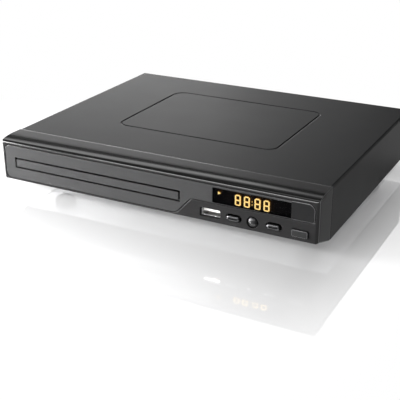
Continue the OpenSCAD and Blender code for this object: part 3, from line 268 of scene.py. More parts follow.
# --- Meshes ---
class Shell:
    """Gathers grids and flat plates, welds them where they touch and makes one closed mesh of them."""

    def __init__(self):
        self.points, self.faces, self.count = [], [], 0

    def gather(self, points, faces):
        """Adds points and the faces between them."""
        self.points.append(points)
        self.faces.append(faces + self.count)
        self.count += len(points)
        return self

    def grid(self, p, closed=False):
        """Quads between the neighbouring points of a grid p (rows, columns, 3), whose rows may be closed."""
        p = np.asarray(p, float)
        i = np.arange(p.shape[0] * p.shape[1]).reshape(p.shape[:2])
        if closed:
            i = np.concatenate([i, i[:, :1]], 1)
        quads = np.stack([i[:-1, :-1], i[1:, :-1], i[1:, 1:], i[:-1, 1:]], -1)
        return self.gather(p.reshape(-1, 3), quads.reshape(-1, 4))

    def plate(self, *outlines):
        """The flat area inside the first outline and outside the others, cut into triangles."""
        triangles = np.array(tessellate_polygon([[Vector(v) for v in o] for o in outlines]))
        return self.gather(np.concatenate(outlines), np.column_stack([triangles, triangles[:, 2]]))

    def tube(self, rings):
        """Quads between closed rings of as many points, with a flat plate on the first and the last."""
        return self.grid(rings, closed=True).plate(rings[0]).plate(rings[-1])

    def box(self, x, y, z):
        """A block between pairs of limits."""
        turns = ((0, 0), (1, 0), (1, 1), (0, 1))
        return self.tube(np.array([[(x[a], y[b], height) for a, b in turns] for height in z], float))

    def piece(self, name, body, node, crease=32):
        """Welds the points to 1e-6 mm, drops empty faces, turns the faces outwards, smooths all edges flatter
        than crease degrees, and makes the piece ride on its body and stand for its node."""
        points, where = np.unique(np.round(np.concatenate(self.points), 6), axis=0, return_inverse=True)
        faces = where.reshape(-1)[np.concatenate(self.faces)].tolist()
        points = (points + [0, FRONT_AT, FEET]) / 1000
        mesh = bpy.data.meshes.new(name)
        mesh.from_pydata(points.tolist(), [], [list(dict.fromkeys(f)) for f in faces if len(set(f)) > 2])
        work = bmesh.new()
        work.from_mesh(mesh)
        bmesh.ops.recalc_face_normals(work, faces=work.faces)
        work.to_mesh(mesh)
        work.free()
        mesh.polygons.foreach_set("use_smooth", np.ones(len(mesh.polygons), bool))
        mesh.set_sharp_from_angle(angle=math.radians(crease))
        mesh.materials.append(finish[slot_of[node]])
        thing = bpy.data.objects.new(name, mesh)
        scene.collection.objects.link(thing)
        shading = thing.modifiers.new("even_shading", "WEIGHTED_NORMAL")
        shading.keep_sharp, shading.weight = True, 100
        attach(thing, body)
        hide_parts(node)


def upright(outline, y):
    """An (x, z) outline at depth y."""
    return np.stack([outline[:, 0], np.full(len(outline), y), outline[:, 1]], 1)


def lying(outline, z):
    """An (x, y) outline at height z."""
    return np.column_stack([outline, np.full(len(outline), z)])


def rim(outline, steps):
    """Rings of an outline function: one for each (growth, depth) in steps."""
    return np.array([upright(outline(g), y) for g, y in steps])


def cuts(openings, y, more=0.0):
    """The outlines of openings at depth y, each grown by its own growth and more."""
    return [upright(outline(g + more), y) for outline, g in openings]


def quarter(width, depth, grow=0.0, at=0.0, n=4):
    """Steps of a quarter of an ellipse that rounds an edge: the growth runs from grow + width to grow as
    width (1 - sin a), and the depth from at to at + depth as depth (1 - cos a). A width below 0 rounds the
    outer edge of a plate."""
    a = np.linspace(0, math.pi / 2, n + 1)
    return list(zip(grow + width * (1 - np.sin(a)), at + depth * (1 - np.cos(a))))


# --- Shader maths ---
class Value:
    """A number, colour or shader in the nodes. Adding, subtracting, multiplying and comparing numbers adds
    Math nodes."""

    def __init__(self, nodes, socket):
        self.nodes, self.socket = nodes, socket

    def __add__(self, other):
        return self.nodes.maths("ADD", self, other)

    def __radd__(self, other):
        return self.nodes.maths("ADD", other, self)

    def __sub__(self, other):
        return self.nodes.maths("SUBTRACT", self, other)

    def __rsub__(self, other):
        return self.nodes.maths("SUBTRACT", other, self)

    def __mul__(self, other):
        return self.nodes.maths("MULTIPLY", self, other)

    def __rmul__(self, other):
        return self.nodes.maths("MULTIPLY", other, self)

    def __gt__(self, other):
        return self.nodes.maths("GREATER_THAN", self, other)


class Nodes:
    """The nodes of a material or of the world."""

    def __init__(self, tree):
        self.tree = tree

    def put(self, socket, v):
        """Links a value to a socket, or sets the socket to a constant; a colour gets its fourth number."""
        if isinstance(v, Value):
            self.tree.links.new(v.socket, socket)
        elif socket.type == "RGBA":
            socket.default_value = (*v, 1)
        else:
            socket.default_value = v

    def node(self, kind, settings=None, inputs=None, output=0):
        """Any node, by its type, its settings, the values or links of its sockets and the output wanted."""
        made = self.tree.nodes.new("ShaderNode" + kind)
        for name, v in (settings or {}).items():
            setattr(made, name, v)
        for name, v in (inputs or {}).items():
            self.put(made.inputs[name], v)
        return Value(self, made.outputs[output])

    def maths(self, operation, *values):
        """A Math node of its operation and values."""
        return self.node("Math", {"operation": operation}, dict(enumerate(values)))

    def place(self):
        """The object's own coordinates in metres, as a vector."""
        return self.node("TexCoord", output="Object")

    def stretched(self, scale, turn=(0, 0, 0)):
        """The place, multiplied by a factor along each axis and turned by degrees about each."""
        turn = tuple(math.radians(t) for t in turn)
        return self.node("Mapping", inputs={"Vector": self.place(), "Scale": scale, "Rotation": turn})

    def axes(self, vector=None):
        """The three parts of a vector, or of the place."""
        first = self.node("SeparateXYZ", inputs={0: vector or self.place()})
        return [Value(self, part) for part in first.socket.node.outputs]

    def ray(self, fact):
        """A fact about the ray that looks: 1 or 0 for Is Camera Ray and its like, a count for a depth."""
        return self.node("LightPath", output=fact)

    def noise(self, scale, detail=2.0, vector=None):
        """Cloudy noise from 0 to 1, scale clouds to the metre."""
        clouds = {"Vector": vector or self.place(), "Scale": scale, "Detail": detail}
        return self.node("TexNoise", inputs=clouds)

    def fade(self, value, low, high, at_low=0.0, at_high=1.0):
        """A smooth step from at_low to at_high, while value goes from low to high."""
        limits = {0: value, 1: low, 2: high, 3: at_low, 4: at_high}
        return self.node("MapRange", {"interpolation_type": "SMOOTHSTEP"}, limits)

    def fade_mm(self, length, low, high, at_low=0.0, at_high=1.0):
        """The same for a length in metres, with low and high in mm."""
        return self.fade(length, low / 1000, high / 1000, at_low, at_high)

    def band_mm(self, length, start, full, fall, end):
        """A band over a length: 0 until start, 1 from full to fall, 0 from end, all in mm."""
        return self.fade_mm(length, start, full) * self.fade_mm(length, end, fall)

    def blend(self, factor, a, b):
        """A colour between a and b."""
        return self.node("Mix", {"data_type": "RGBA"}, {0: factor, 6: a, 7: b}, output=2)

    def layered(self, factor, a, b):
        """A shader between a and b."""
        return self.node("MixShader", inputs={0: factor, 1: a, 2: b})


class Finish(Nodes):
    """One material: a principled shader and the nodes that feed it."""

    def __init__(self, name, colour, **constants):
        self.material = bpy.data.materials.new(name)
        self.material.use_nodes = True
        super().__init__(self.material.node_tree)
        self.shader = self.tree.nodes["Principled BSDF"]
        self.body = Value(self, self.shader.outputs[0])
        self.colour = colour
        self.set(Base_Color=colour, **constants)

    def set(self, **values):
        """Sets or links sockets of the shader by name."""
        for name, v in values.items():
            self.put(self.shader.inputs[name.replace("_", " ")], v)

    def surface(self, shader):
        """Makes another shader the material's surface."""
        self.put(self.tree.nodes["Material Output"].inputs["Surface"], shader)

    def relief(self, height, distance, strength):
        """Bump from a height between 0 and 1, distance metres deep."""
        bump = {"Height": height, "Distance": distance, "Strength": strength}
        self.set(Normal=self.node("Bump", inputs=bump))

    def uneven(self, scale, rough, spread):
        """Slight changes of roughness over the surface. Returns their noise."""
        clouds = self.noise(scale, 3.0)
        self.set(Roughness=rough + (clouds - 0.5) * spread)
        return clouds

    def mottled(self, scale, amount, rough, spread):
        """Slight changes of tone and of roughness over the surface."""
        clouds = self.uneven(scale, rough, spread)
        dark, light = (tuple(min(c * k, 1) for c in self.colour) for k in (1 - amount, 1 + amount))
        self.set(Base_Color=self.blend(clouds, dark, light))

    def depth(self):
        """The depth behind the bezel's face, in metres."""
        return self.axes()[1] - FRONT_AT / 1000


# --- Finishes ---
PLASTICS = {    # colour, roughness, strength of the grain
    "dark_plastic": ((0.022, 0.022, 0.024), 0.5, 0.25),
    "light_plastic": ((0.72, 0.71, 0.68), 0.42, 0.25),
    "tray_plastic": ((0.020, 0.020, 0.022), 0.46, 0.4),
    "rubber": ((0.018, 0.018, 0.018), 0.75, 0.6),
    "gear_plastic": ((0.74, 0.71, 0.62), 0.38, 0.25),
    "capacitor_sleeve": ((0.02, 0.024, 0.04), 0.28, 0.1),
}
METALS = {      # colour, roughness, stretch of the drawn lines along X, Y and Z
    "plated_steel": ((0.78, 0.78, 0.79), 0.20, (1, 0.15, 1)),
    "switch_metal": ((0.55, 0.55, 0.57), 0.32, (1, 1, 1)),
    "black_screws": ((0.05, 0.05, 0.052), 0.36, (1, 1, 1)),
    "zinc_screws": ((0.52, 0.50, 0.44), 0.3, (1, 1, 1)),
    "brass_pins": ((0.66, 0.55, 0.33), 0.25, (1, 0.15, 1)),
    "bare_aluminium": ((0.60, 0.61, 0.62), 0.34, (1, 0.1, 1)),
    "polished_rod": ((0.72, 0.72, 0.74), 0.12, (1, 0.1, 1)),
    "cast_metal": ((0.10, 0.10, 0.11), 0.45, (1, 1, 1)),
}
BOARDS = {      # solder mask, tracks under it, roughness
    "circuit_board": ((0.012, 0.075, 0.03), (0.03, 0.16, 0.06), 0.3),
    "paper_board": ((0.36, 0.24, 0.11), (0.47, 0.33, 0.17), 0.5),
}
PAINTED_HIGHLIGHT_TONE = (0.16, 0.16, 0.163)          # painted highlight: the pale line along a moulded edge
JACKS = [(0.80, 0.30, 0.04), (0.62, 0.03, 0.03), (0.82, 0.82, 0.80), (0.85, 0.62, 0.03)]    # along X
JACK_EDGES = (0.068, 0.082, 0.096)          # the next colour starts at this X in metres
WINDING_TURNS, RIBBON_STRIPS = 14000, 6283  # radians to the metre: 0.45 mm a turn, 1 mm a strip


def fine_plastic(name, colour, rough, grain):
    """Moulded plastic: an even colour with faint mottling and the fine pebble grain of the mould."""
    f = Finish(name, colour)
    f.mottled(60, 0.05, rough, 0.06)
    f.relief(f.noise(3500, 1.0), 0.00001, grain)
    return f.material


def bare_metal(name, colour, rough, drawn):
    """Sheet or turned metal with fine lines drawn along the axis whose stretch is small."""
    f = Finish(name, colour, Metallic=1.0)
    lines = f.noise(900, 3.0, f.stretched(drawn))
    f.set(Base_Color=f.blend(lines, tuple(c * 0.86 for c in colour), colour),
          Roughness=rough + (lines - 0.5) * 0.16)
    f.relief(lines, 0.000012, 0.4)
    return f.material


def board(name, mask, track, rough):
    """A circuit board: solder mask over faint tracks, which run along the borders of cells."""
    f = Finish(name, mask)
    to_border = f.node("TexVoronoi", {"feature": "DISTANCE_TO_EDGE"}, {"Vector": f.place(), "Scale": 170})
    lanes = f.fade(to_border, 0.03, 0.07)
    speck = f.noise(500, 2.0)
    f.set(Base_Color=f.blend(lanes * 0.8 + speck * 0.2, track, mask), Roughness=rough + speck * 0.1)
    f.relief(lanes, 0.00003, 0.3)
    return f.material


def bezel_gloss():
    """Moulded bezel: near black and satin, with a lacquered brow, shiny edges round its openings, and a
    painted highlight, a pale line, along the edges of its two ends."""
    f = Finish("bezel_gloss", (0.016, 0.0157, 0.016), Specular_IOR_Level=0.03, Coat_Roughness=0.10)
    clouds = f.uneven(40, 0.32, 0.05)
    x, _, z = f.axes()
    depth, across = f.depth(), f.maths("ABSOLUTE", x)
    ends = f.fade_mm(across, HALF_W - 0.02, HALF_W - 0.12)
    level = f.band_mm(depth, *LEVEL, SEAM_LINE, BEZEL_D)
    brow = f.fade_mm(z, *LACQUER) * (1 - level * 0.97)
    lips = f.band_mm(depth, 0.03, 0.15, 0.8, 1.2) * 0.17
    # painted highlight: a pale line on the rounding of the edges of the two ends
    painted_highlight = f.band_mm(across, HALF_W - 0.45, HALF_W - 0.35, HALF_W - 0.14, HALF_W - 0.06)
    satin = f.blend(clouds, (0.015, 0.0148, 0.015), (0.017, 0.0167, 0.017))
    moulded = f.blend(brow, satin, (0.005, 0.005, 0.005))
    f.set(Coat_Weight=ends * f.maths("MAXIMUM", brow, lips),
          Base_Color=f.blend(painted_highlight, moulded, (0.10, 0.10, 0.102)))
    f.relief(f.noise(260, 2.0), 0.00002, 0.2)
    return f.material


def fascia_brushed():
    """Fascia and door: satin, brushed with fine slanting lines, painted shade down their sides, shiny along
    their edges. The right end is smoked, with a painted highlight, a pale line, along its edge."""
    f = Finish("fascia_brushed", (0.028, 0.028, 0.0284), Specular_IOR_Level=0.10, Coat_Roughness=0.15)
    lines = f.noise(1.0, 3.0, f.stretched((260, 260, 2200), (0, 24, 0)))
    depth = f.depth()
    smoked = f.fade_mm(f.axes()[0], SMOKED_X, SMOKED_X + 0.4)
    # painted highlight: a pale line on the edge rounding of the smoked end
    painted_highlight = smoked * f.band_mm(depth, 0.03, 0.1, 0.2, 0.3)
    drawn = f.blend(lines, (0.023, 0.023, 0.0233), (0.033, 0.033, 0.0335))
    face = f.blend(painted_highlight, f.blend(smoked, drawn, (0.008, 0.008, 0.0083)), PAINTED_HIGHLIGHT_TONE)
    # painted shade: from 0.2 mm behind the face, over the edge rounding and down the sides, fascia and door
    # turn near black, for the shade in the gaps round them
    f.set(Base_Color=f.blend(f.fade_mm(depth, 0.2, 0.4), face, (0.003, 0.003, 0.003)),
          Roughness=0.42 + (lines - 0.5) * 0.2,
          Coat_Weight=f.band_mm(depth, 0.02, 0.10, 0.2, 0.3) * 0.25)
    f.relief(lines, 0.000015, 0.35)
    return f.material


def cover_paint():
    """Painted cover: fine powder grain, and a painted highlight, a paler band, along the two long folds."""
    f = Finish("cover_paint", (0.012, 0.012, 0.0123), Specular_IOR_Level=0.03)
    f.uneven(35, 0.40, 0.05)
    x, _, z = f.axes()
    fold = f.band_mm(f.maths("ABSOLUTE", x), HALF_W - 1.1, HALF_W - 0.8, HALF_W - 0.15, HALF_W - 0.02)
    # painted highlight: a paler band on the outer side of the two long folds
    painted_fold_highlight = fold * f.fade_mm(z, 36, 36.5)
    f.set(Base_Color=f.blend(painted_fold_highlight, f.colour, (0.045, 0.045, 0.046)))
    f.relief(f.noise(2600, 2.0), 0.00001, 0.3)
    return f.material


def window_tint():
    """Tinted window in front of the display: dark and glossy, with a little dust, and lets light through."""
    f = Finish("window_tint", (0.002, 0.002, 0.0025), Specular_IOR_Level=0.02)
    f.mottled(50, 0.05, 0.12, 0.02)
    clear = f.node("BsdfTransparent", inputs={0: (0.50, 0.48, 0.46)})
    f.surface(f.layered(0.30 + f.noise(900, 1.0) * 0.03, clear, f.body))
    return f.material


def lit_segments():
    """Lit segments: pale where they face forwards, amber towards their rounded edges."""
    f = Finish("lit_segments", (0.9, 0.5, 0.1), Emission_Strength=8.0)
    turned = {"vector_type": "NORMAL", "convert_from": "WORLD", "convert_to": "OBJECT"}
    normal = f.node("VectorTransform", turned, {0: f.node("NewGeometry", output="Normal")})
    core = f.fade(0 - f.axes(normal)[1], 0.25, 0.75)
    glow = f.blend(core, (1.0, 0.50, 0.06), (1.0, 0.84, 0.38))
    f.set(Base_Color=glow, Emission_Color=glow, Roughness=0.45 + f.noise(1500, 1.0) * 0.1)
    return f.material


def zinc_sheet():
    """Zinc-plated sheet: soft spangle, a tone for each cell."""
    f = Finish("zinc_sheet", (0.42, 0.42, 0.43), Metallic=1.0)
    cells = f.node("TexVoronoi", {"feature": "F1"}, {"Vector": f.place(), "Scale": 90}, output="Color")
    tone = f.node("RGBToBW", inputs={0: cells})
    f.set(Base_Color=f.blend(tone, (0.33, 0.33, 0.34), (0.50, 0.50, 0.51)), Roughness=0.38 + tone * 0.14)
    f.relief(f.noise(800, 2.0), 0.00001, 0.3)
    return f.material


def copper_winding():
    """Enamelled wire wound round its core: a sine wave over the height."""
    f = Finish("copper_winding", (0.45, 0.20, 0.07), Metallic=0.6)
    turns = f.maths("SINE", f.axes()[2] * WINDING_TURNS)
    f.set(Base_Color=f.blend(turns * 0.5 + 0.5, (0.30, 0.12, 0.035), (0.55, 0.27, 0.10)),
          Roughness=0.3 + turns * 0.05)
    f.relief(turns, 0.0001, 0.4)
    return f.material


def ribbon_film():
    """Flat ribbon: pale film over a row of tinned strips."""
    f = Finish("ribbon_film", (0.8, 0.8, 0.78))
    strips = f.fade(f.maths("SINE", f.axes()[0] * RIBBON_STRIPS), -0.2, 0.2)
    f.set(Base_Color=f.blend(strips, (0.78, 0.78, 0.76), (0.45, 0.44, 0.42)), Roughness=0.3 + strips * 0.1)
    f.relief(strips, 0.00005, 0.3)
    return f.material


def jack_inserts():
    """Coded inserts of the four phono jacks, picked out by their place across the panel."""
    f = Finish("jack_inserts", (0.8, 0.6, 0.05))
    x = f.axes()[0]
    tone = JACKS[0]
    for edge, colour in zip(JACK_EDGES, JACKS[1:]):
        tone = f.blend(x > edge, tone, colour)
    f.set(Base_Color=tone, Roughness=0.3 + f.noise(700, 1.0) * 0.12)
    return f.material


def lens_glass():
    """Coated pickup lens."""
    f = Finish("lens_glass", (0.10, 0.14, 0.32), IOR=1.5, Coat_Weight=1.0, Coat_Roughness=0.03)
    f.mottled(900, 0.2, 0.08, 0.02)
    return f.material


def button_gloss():
    """Pills and round button: a dark chrome film, duller on the ball, and black in the pills' sunk bars,
    partly painted shade.
    """
    f = Finish("button_gloss", (0.07, 0.07, 0.072), Metallic=1.0)
    x, y, z = f.axes()
    speck = f.noise(300, 3.0)
    sunk = f.fade_mm(y, FRONT_AT - CAP_OUT + 0.06, FRONT_AT - CAP_OUT + 0.16)
    middle = f.fade_mm(f.maths("ABSOLUTE", z - (BUTTON_Z + FEET) / 1000), 0.7, 0.5)
    ball = f.fade_mm(f.maths("ABSOLUTE", x - ROUND_X / 1000), ROUND_R + 1.2, ROUND_R + 0.8)
    film = f.blend(speck, (0.066, 0.066, 0.068), (0.074, 0.074, 0.076))
    film = f.blend(ball, film, (0.045, 0.045, 0.046))
    # black in the sunk bar: partly a black inlay, partly painted shade in the groove
    f.set(Base_Color=f.blend(sunk * middle, film, (0.012, 0.012, 0.012)),
          Roughness=0.24 + speck * 0.02 + ball * 0.14)
    return f.material


def button_satin():
    """Flat button: satin black with a shiny rounding and a painted highlight, a pale line, along it."""
    f = Finish("button_satin", (0.010, 0.010, 0.0103), Specular_IOR_Level=0.1, Coat_Roughness=0.12)
    f.uneven(300, 0.30, 0.06)
    depth = f.depth() + CAP_OUT / 1000
    # painted highlight: a pale line on the cap's edge rounding
    painted_highlight = f.band_mm(depth, 0.02, 0.06, 0.14, 0.22)
    f.set(Base_Color=f.blend(painted_highlight, (0.011, 0.011, 0.0113), PAINTED_HIGHLIGHT_TONE),
          Coat_Weight=f.fade_mm(depth, 0.02, 0.1, 0.25, 1.0))
    return f.material


finish = {      # by the name of its slot
    "bezel_plastic": bezel_gloss(),
    "fascia_plastic": fascia_brushed(),
    "painted_steel": cover_paint(),
    "window_lens": window_tint(),
    "display_segments": lit_segments(),
    "zinc_steel": zinc_sheet(),
    "copper_winding": copper_winding(),
    "ribbon_film": ribbon_film(),
    "coloured_plastic": jack_inserts(),
    "lens_glass": lens_glass(),
    "button_gloss": button_gloss(),
    "button_satin": button_satin(),
}
for make, rows in ((fine_plastic, PLASTICS), (bare_metal, METALS), (board, BOARDS)):
    finish.update({slot: make(slot, *row) for slot, row in rows.items()})
for name, thing in frame["nodes"].items():
    thing.data.materials.clear()
    thing.data.materials.append(finish[slot_of[name]])


# --- Front moulding ---
def seam_drop(y):
    """How far the surface falls towards the seam: a parabola, and a small quarter round at its end."""
    roll = np.clip((y - (BEZEL_D - ROLL)) / ROLL, 0, 1)
    into = np.clip((y - (BEZEL_D - SEAM_R)) / SEAM_R, 0, 1)
    return ROLL_D * roll**2 + SEAM_R * (1 - np.sqrt(1 - into**2))


def crown_height(y):
    """Height of the bezel's top over its depth y: a small circle at the nose, a large one behind it, a flat,
    and the fall towards the seam."""
    nose = BROW + np.sqrt(np.maximum(NOSE_R**2 - (NOSE_R - y) ** 2, 0))
    crown = HEIGHT - CROWN_R + np.sqrt(CROWN_R**2 - np.minimum(y - CROWN_D, 0) ** 2)
    meet = NOSE_R - NOSE_R * math.sin(math.radians(NOSE_TURN))
    return np.where(y < meet, nose, crown) - seam_drop(y)


def belly_height(y):
    """Height of the underside over depth y: a small circle at the chin, a slope behind it, and a flat."""
    fall = CHIN / CHIN_D
    lean = math.sqrt(1 + fall * fall)
    centre = CHIN + CHIN_R * (lean - fall)
    chin = centre - np.sqrt(np.maximum(CHIN_R**2 - (CHIN_R - y) ** 2, 0))
    slope = np.maximum(CHIN - fall * y, 0)
    return np.where(y < CHIN_R - CHIN_R * fall / lean, chin, slope)


def bezel_end(depths, edge):
    """One end of the bezel. The plan turns a quarter circle at the front: x falls by CORNER_R (1 - cos b) and
    y by CORNER_R sin b. The edge to the top or the underside is a quarter round, edge in radius at the front
    and END_R at the back, and its radius falls by cos b as the plan turns to the front.
    Returns x, y and the distance from the top or the underside, each an array (rings, depths)."""
    turn = np.radians(np.linspace(0, 90, 400))
    y_of_turn = CORNER_R - (CORNER_R - edge * np.cos(turn)) * np.sin(turn)
    turning = depths < y_of_turn[0]
    b = np.where(turning, np.interp(-depths, -y_of_turn, turn), 0)
    r = np.interp(depths, LOW_RUN, (edge, END_R)) * np.cos(b)
    a = np.radians(np.linspace(0, 90, 6))[:, None]
    inward = r * (1 - np.cos(a))
    turned = HALF_W - CORNER_R + (CORNER_R - inward) * np.cos(b)
    x = np.where(turning, turned, HALF_W - inward) - seam_drop(depths)
    y = np.where(turning, CORNER_R - (CORNER_R - inward) * np.sin(b), depths)
    return x, y, r * (1 - np.sin(a))


def bezel_skin():
    """The outer surface at each end, for the top and for the underside: arrays (rings, depths, 3). The depths
    lie close together at the nose, the chin and the seam."""
    near = 1 - np.sin(np.radians(np.linspace(90, 0, 15)))
    depths = np.unique(np.round(np.concatenate([
        NOSE_R * near, CHIN_R * near, np.linspace(1.5, CROWN_D, 14), [CHIN_D, BEZEL_D],
        BEZEL_D - SEAM_R * near[::-3], np.linspace(BEZEL_D - ROLL, BEZEL_D - SEAM_R, 7)]), 5))
    x, y, drop = bezel_end(depths, END_R)
    top = np.stack([x, y, crown_height(y) - drop], -1)
    x, y, rise = bezel_end(depths, LOW_R)
    return top, np.stack([x, y, belly_height(y) + rise], -1)


def bezel_inside(s):
    """The inner skin: the outer section set in by the wall and carried along X, with a plate at each end.
    Returns the outline of its open back."""
    section = np.concatenate([
        [(BEZEL_D, SKIN), (CHIN_D, SKIN), (SKIN, CHIN_INSIDE)],
        arc((NOSE_R, BROW), NOSE_R - SKIN, 180, 90 + NOSE_TURN, 3),
        arc((CROWN_D, HEIGHT - CROWN_R), CROWN_R - SKIN, 90 + NOSE_TURN, 90, 6)[1:],
        [(BEZEL_D, HEIGHT - SKIN)]])
    half = HALF_W - SKIN
    walls = np.array([np.column_stack([np.full(len(section), x), section]) for x in (-half, half)])
    s.grid(walls[:, :3]).grid(walls[:, 3:]).plate(walls[0]).plate(walls[1])
    low, high = section[2:4, 1]
    s.plate(upright(oblong(half, low, high), SKIN), *cuts(WINDOWS_BACK + OUTLETS, SKIN))
    return upright(oblong(half, SKIN, HEIGHT - SKIN), BEZEL_D)


def bezel():
    """Top and underside run along X between the two ends, whose walls join them. The flat front between the
    upright corners is a plate with the openings, whose walls run inwards. An inner skin makes it a shell."""
    s = Shell()
    top, low = bezel_skin()
    mirror = np.array([-1, 1, 1])
    for flip in (1, mirror):
        s.grid(top * flip).grid(low * flip).grid(np.array([top[0], low[0]]) * flip)
    for edge in (top[-1], low[-1]):
        s.grid([edge, edge * mirror])
    half, z_low, z_high = low[-1, 0, 0], low[-1, 0, 2], top[-1, 0, 2]
    least = (LIP_INSIDE - half, z_low + LIP_INSIDE)
    most = (half - LIP_INSIDE, z_high - LIP_INSIDE)
    recess = lambda grow: np.clip(fascia_outline(grow), least, most)
    flat = upright(oblong(half, z_low, z_high), 0)
    s.plate(flat, upright(recess(GROOVE + LIP_W), 0), *cuts(OUTLETS, 0, EDGE))
    s.grid(rim(recess, quarter(LIP_W, LIP_D, GROOVE, 0, 6) + [(GROOVE, FASCIA_T)]), closed=True)
    s.plate(upright(fascia_outline(GROOVE), FASCIA_T), *cuts(WINDOWS_FRONT, FASCIA_T))
    for (outline, near), (_, far) in zip(WINDOWS_FRONT, WINDOWS_BACK):
        s.grid(rim(outline, [(near, FASCIA_T), (far, SKIN)]), closed=True)
    for outline, gap in OUTLETS:
        s.grid(rim(outline, quarter(EDGE, EDGE, gap) + [(gap, SKIN)]), closed=True)
    opening = bezel_inside(s)
    end = np.concatenate([low[::-1, -1], top[:, -1]])
    s.plate(np.concatenate([end, end[::-1] * mirror]), opening)
    s.piece("bezel_moulding", "chassis", "front_bezel")


def fascia():
    """A plate of the fascia's outline with rounded edges, open for the slot and the window."""
    s = Shell()
    s.grid(rim(fascia_outline, quarter(-FASCIA_EDGE, FASCIA_EDGE, n=6) + [(0, FASCIA_T)]), closed=True)
    for outline, back in WINDOWS_FRONT:
        s.grid(rim(outline, quarter(EDGE, EDGE) + [(back, FASCIA_T)]), closed=True)
    mouths = [(outline, EDGE) for outline, _ in WINDOWS_FRONT]
    s.plate(upright(fascia_outline(-FASCIA_EDGE), 0), *cuts(mouths, 0))
    s.plate(upright(fascia_outline(), FASCIA_T), *cuts(WINDOWS_FRONT, FASCIA_T))
    s.piece("fascia", "chassis", "fascia_plate")


def door():
    """The tray's door: a plate with rounded front edges."""
    x, z, w, h, _ = SLOT
    outline = lambda grow: panel(x, z - DOOR_DROP, w - DOOR_GAPS[0], h - DOOR_GAPS[1], DOOR_R, grow, 4)
    s = Shell()
    s.tube(rim(outline, quarter(-DOOR_EDGE, DOOR_EDGE) + [(0, DOOR_T)]))
    s.piece("door", "tray", "tray_door")


# --- Cover ---
def cover_section(inset, n=8):
    """The folded sheet's cross-section in (x, z), inset from its outer face: up one side, round a bend,
    across, round the other bend and down."""
    r, w, z = BEND_R - inset, HALF_W - inset, HEIGHT - inset
    bends = [arc((-w + r, z - r), r, 180, 90, n), arc((w - r, z - r), r, 90, 0, n)]
    return np.concatenate([[(-w, 0)], *bends, [(w, 0)]])


def pressed_line(s, y_front, y_back):
    """The top between two depths: a plate round a groove that follows a rounded rectangle, whose depth across
    its width is half a cosine wave, and a plate inside it."""
    half, front, back, r = BEAD
    line = lambda u: panel(0, (front + back) / 2, 2 * half, back - front, r, u * BEAD_W / 2, 12)
    fall = lambda u: BEAD_D * (0.5 + 0.5 * math.cos(math.pi * u))
    s.grid([lying(line(u), HEIGHT - fall(u)) for u in np.linspace(1, -1, 13)], closed=True)
    s.plate(lying(oblong(HALF_W - BEND_R, y_front, y_back), HEIGHT), lying(line(1), HEIGHT))
    s.plate(lying(line(-1), HEIGHT))


def rear_lip(s, outer, inner, y_in):
    """The lip at the back: a plate outside and one inside, open for the screws and joined at the bottom."""
    half, low = HALF_W - SHEET, HEIGHT - LIP
    holes = [lambda grow, x=x: disc(x, HEIGHT - LIP / 2, SCREW_R + grow, 24) for x in SCREWS_X]
    for hole in holes:
        s.grid(rim(hole, [(0, y_in), (0, DEPTH)]), closed=True)
    outside = np.concatenate([outer, [(half, 0), (half, low), (-half, low), (-half, 0)]])
    inside = np.concatenate([inner[1:-1], [(half, low), (-half, low)]])
    for outline, y in ((outside, DEPTH), (inside, y_in)):
        s.plate(upright(outline, y), *cuts([(hole, 0) for hole in holes], y))
    s.grid([[(-half, y, low), (half, y, low)] for y in (y_in, DEPTH)])


def cover():
    """The section carried back along Y, set in by a quarter round at its front and its rear edge. The flat
    top between them is made with the pressed line. An inner skin makes it a sheet."""
    s = Shell()
    n = 8
    front, y_in, half = BEZEL_D + SEAM, DEPTH - SHEET, HALF_W - SHEET
    first = quarter(COVER_EDGE, COVER_EDGE, 0, front, 3)
    rear = quarter(REAR_R, -REAR_R, 0, DEPTH, 5)[::-1]
    rings = np.array([upright(cover_section(inset, n), y) for inset, y in first + rear])
    last = len(first) - 1
    s.grid(rings[:last + 1]).grid(rings[last + 1:])
    s.grid(rings[last:last + 2, :n + 2]).grid(rings[last:last + 2, n + 2:])
    pressed_line(s, first[-1][1], rear[0][1])
    inner = cover_section(SHEET, n)
    s.grid([upright(inner, front), upright(inner, y_in)])
    rear_lip(s, rings[-1][:, [0, 2]], inner, y_in)
    for side in (-1, 1):
        s.grid([[(side * half, y, 0), (side * half, y, HEIGHT - LIP)] for y in (y_in, DEPTH)])
        outer = [(side * (HALF_W - inset), y, 0) for inset, y in first + rear]
        inside = [(side * half, y, 0) for y in (y_in, front, DEPTH)]
        s.plate(np.array(inside[:2] + outer + inside[2:]))
    s.plate(upright(np.concatenate([cover_section(COVER_EDGE, n), inner[::-1]]), front))
    for x in HOOKS_X:           # behind the bezel's top edge
        s.box((x - HOOK_HALF, x + HOOK_HALF), HOOK_Y, HOOK_Z)
    s.piece("cover", "chassis", "top_cover")


# --- Buttons, socket and display ---
def key(name, outline, x, z, size, gap, face):
    """A button: a cap whose face is a row of shrinking outlines, a flange behind the wall, and a stem."""
    s = Shell()
    s.tube(rim(outline, [(0, FLANGE_D[0])] + face))
    width, height = size[0] + 2 * (gap + FLANGE_LAP), size[1] + 2 * gap + FLANGE_RISE
    s.tube(rim(lambda grow: panel(x, z, width, height, FLANGE_R, grow), [(0, y) for y in FLANGE_D]))
    s.tube(rim(lambda grow: disc(x, BUTTON_Z, STEM_R + grow, 32), [(0, FLANGE_D[1]), (0, STEM_END)]))
    s.piece(name + "_cap", name, name)


def dome(half, back, front, n, share):
    """Steps of a domed face, a share of an ellipse's quarter that stops just short of its middle: the outline
    shrinks by half (1 - cos a), and the depth falls from back towards front by sin a."""
    a = np.linspace(0, math.pi / 2 * share, n + 1)
    return list(zip(-half * (1 - np.cos(a)), back - (back - front) * np.sin(a)))


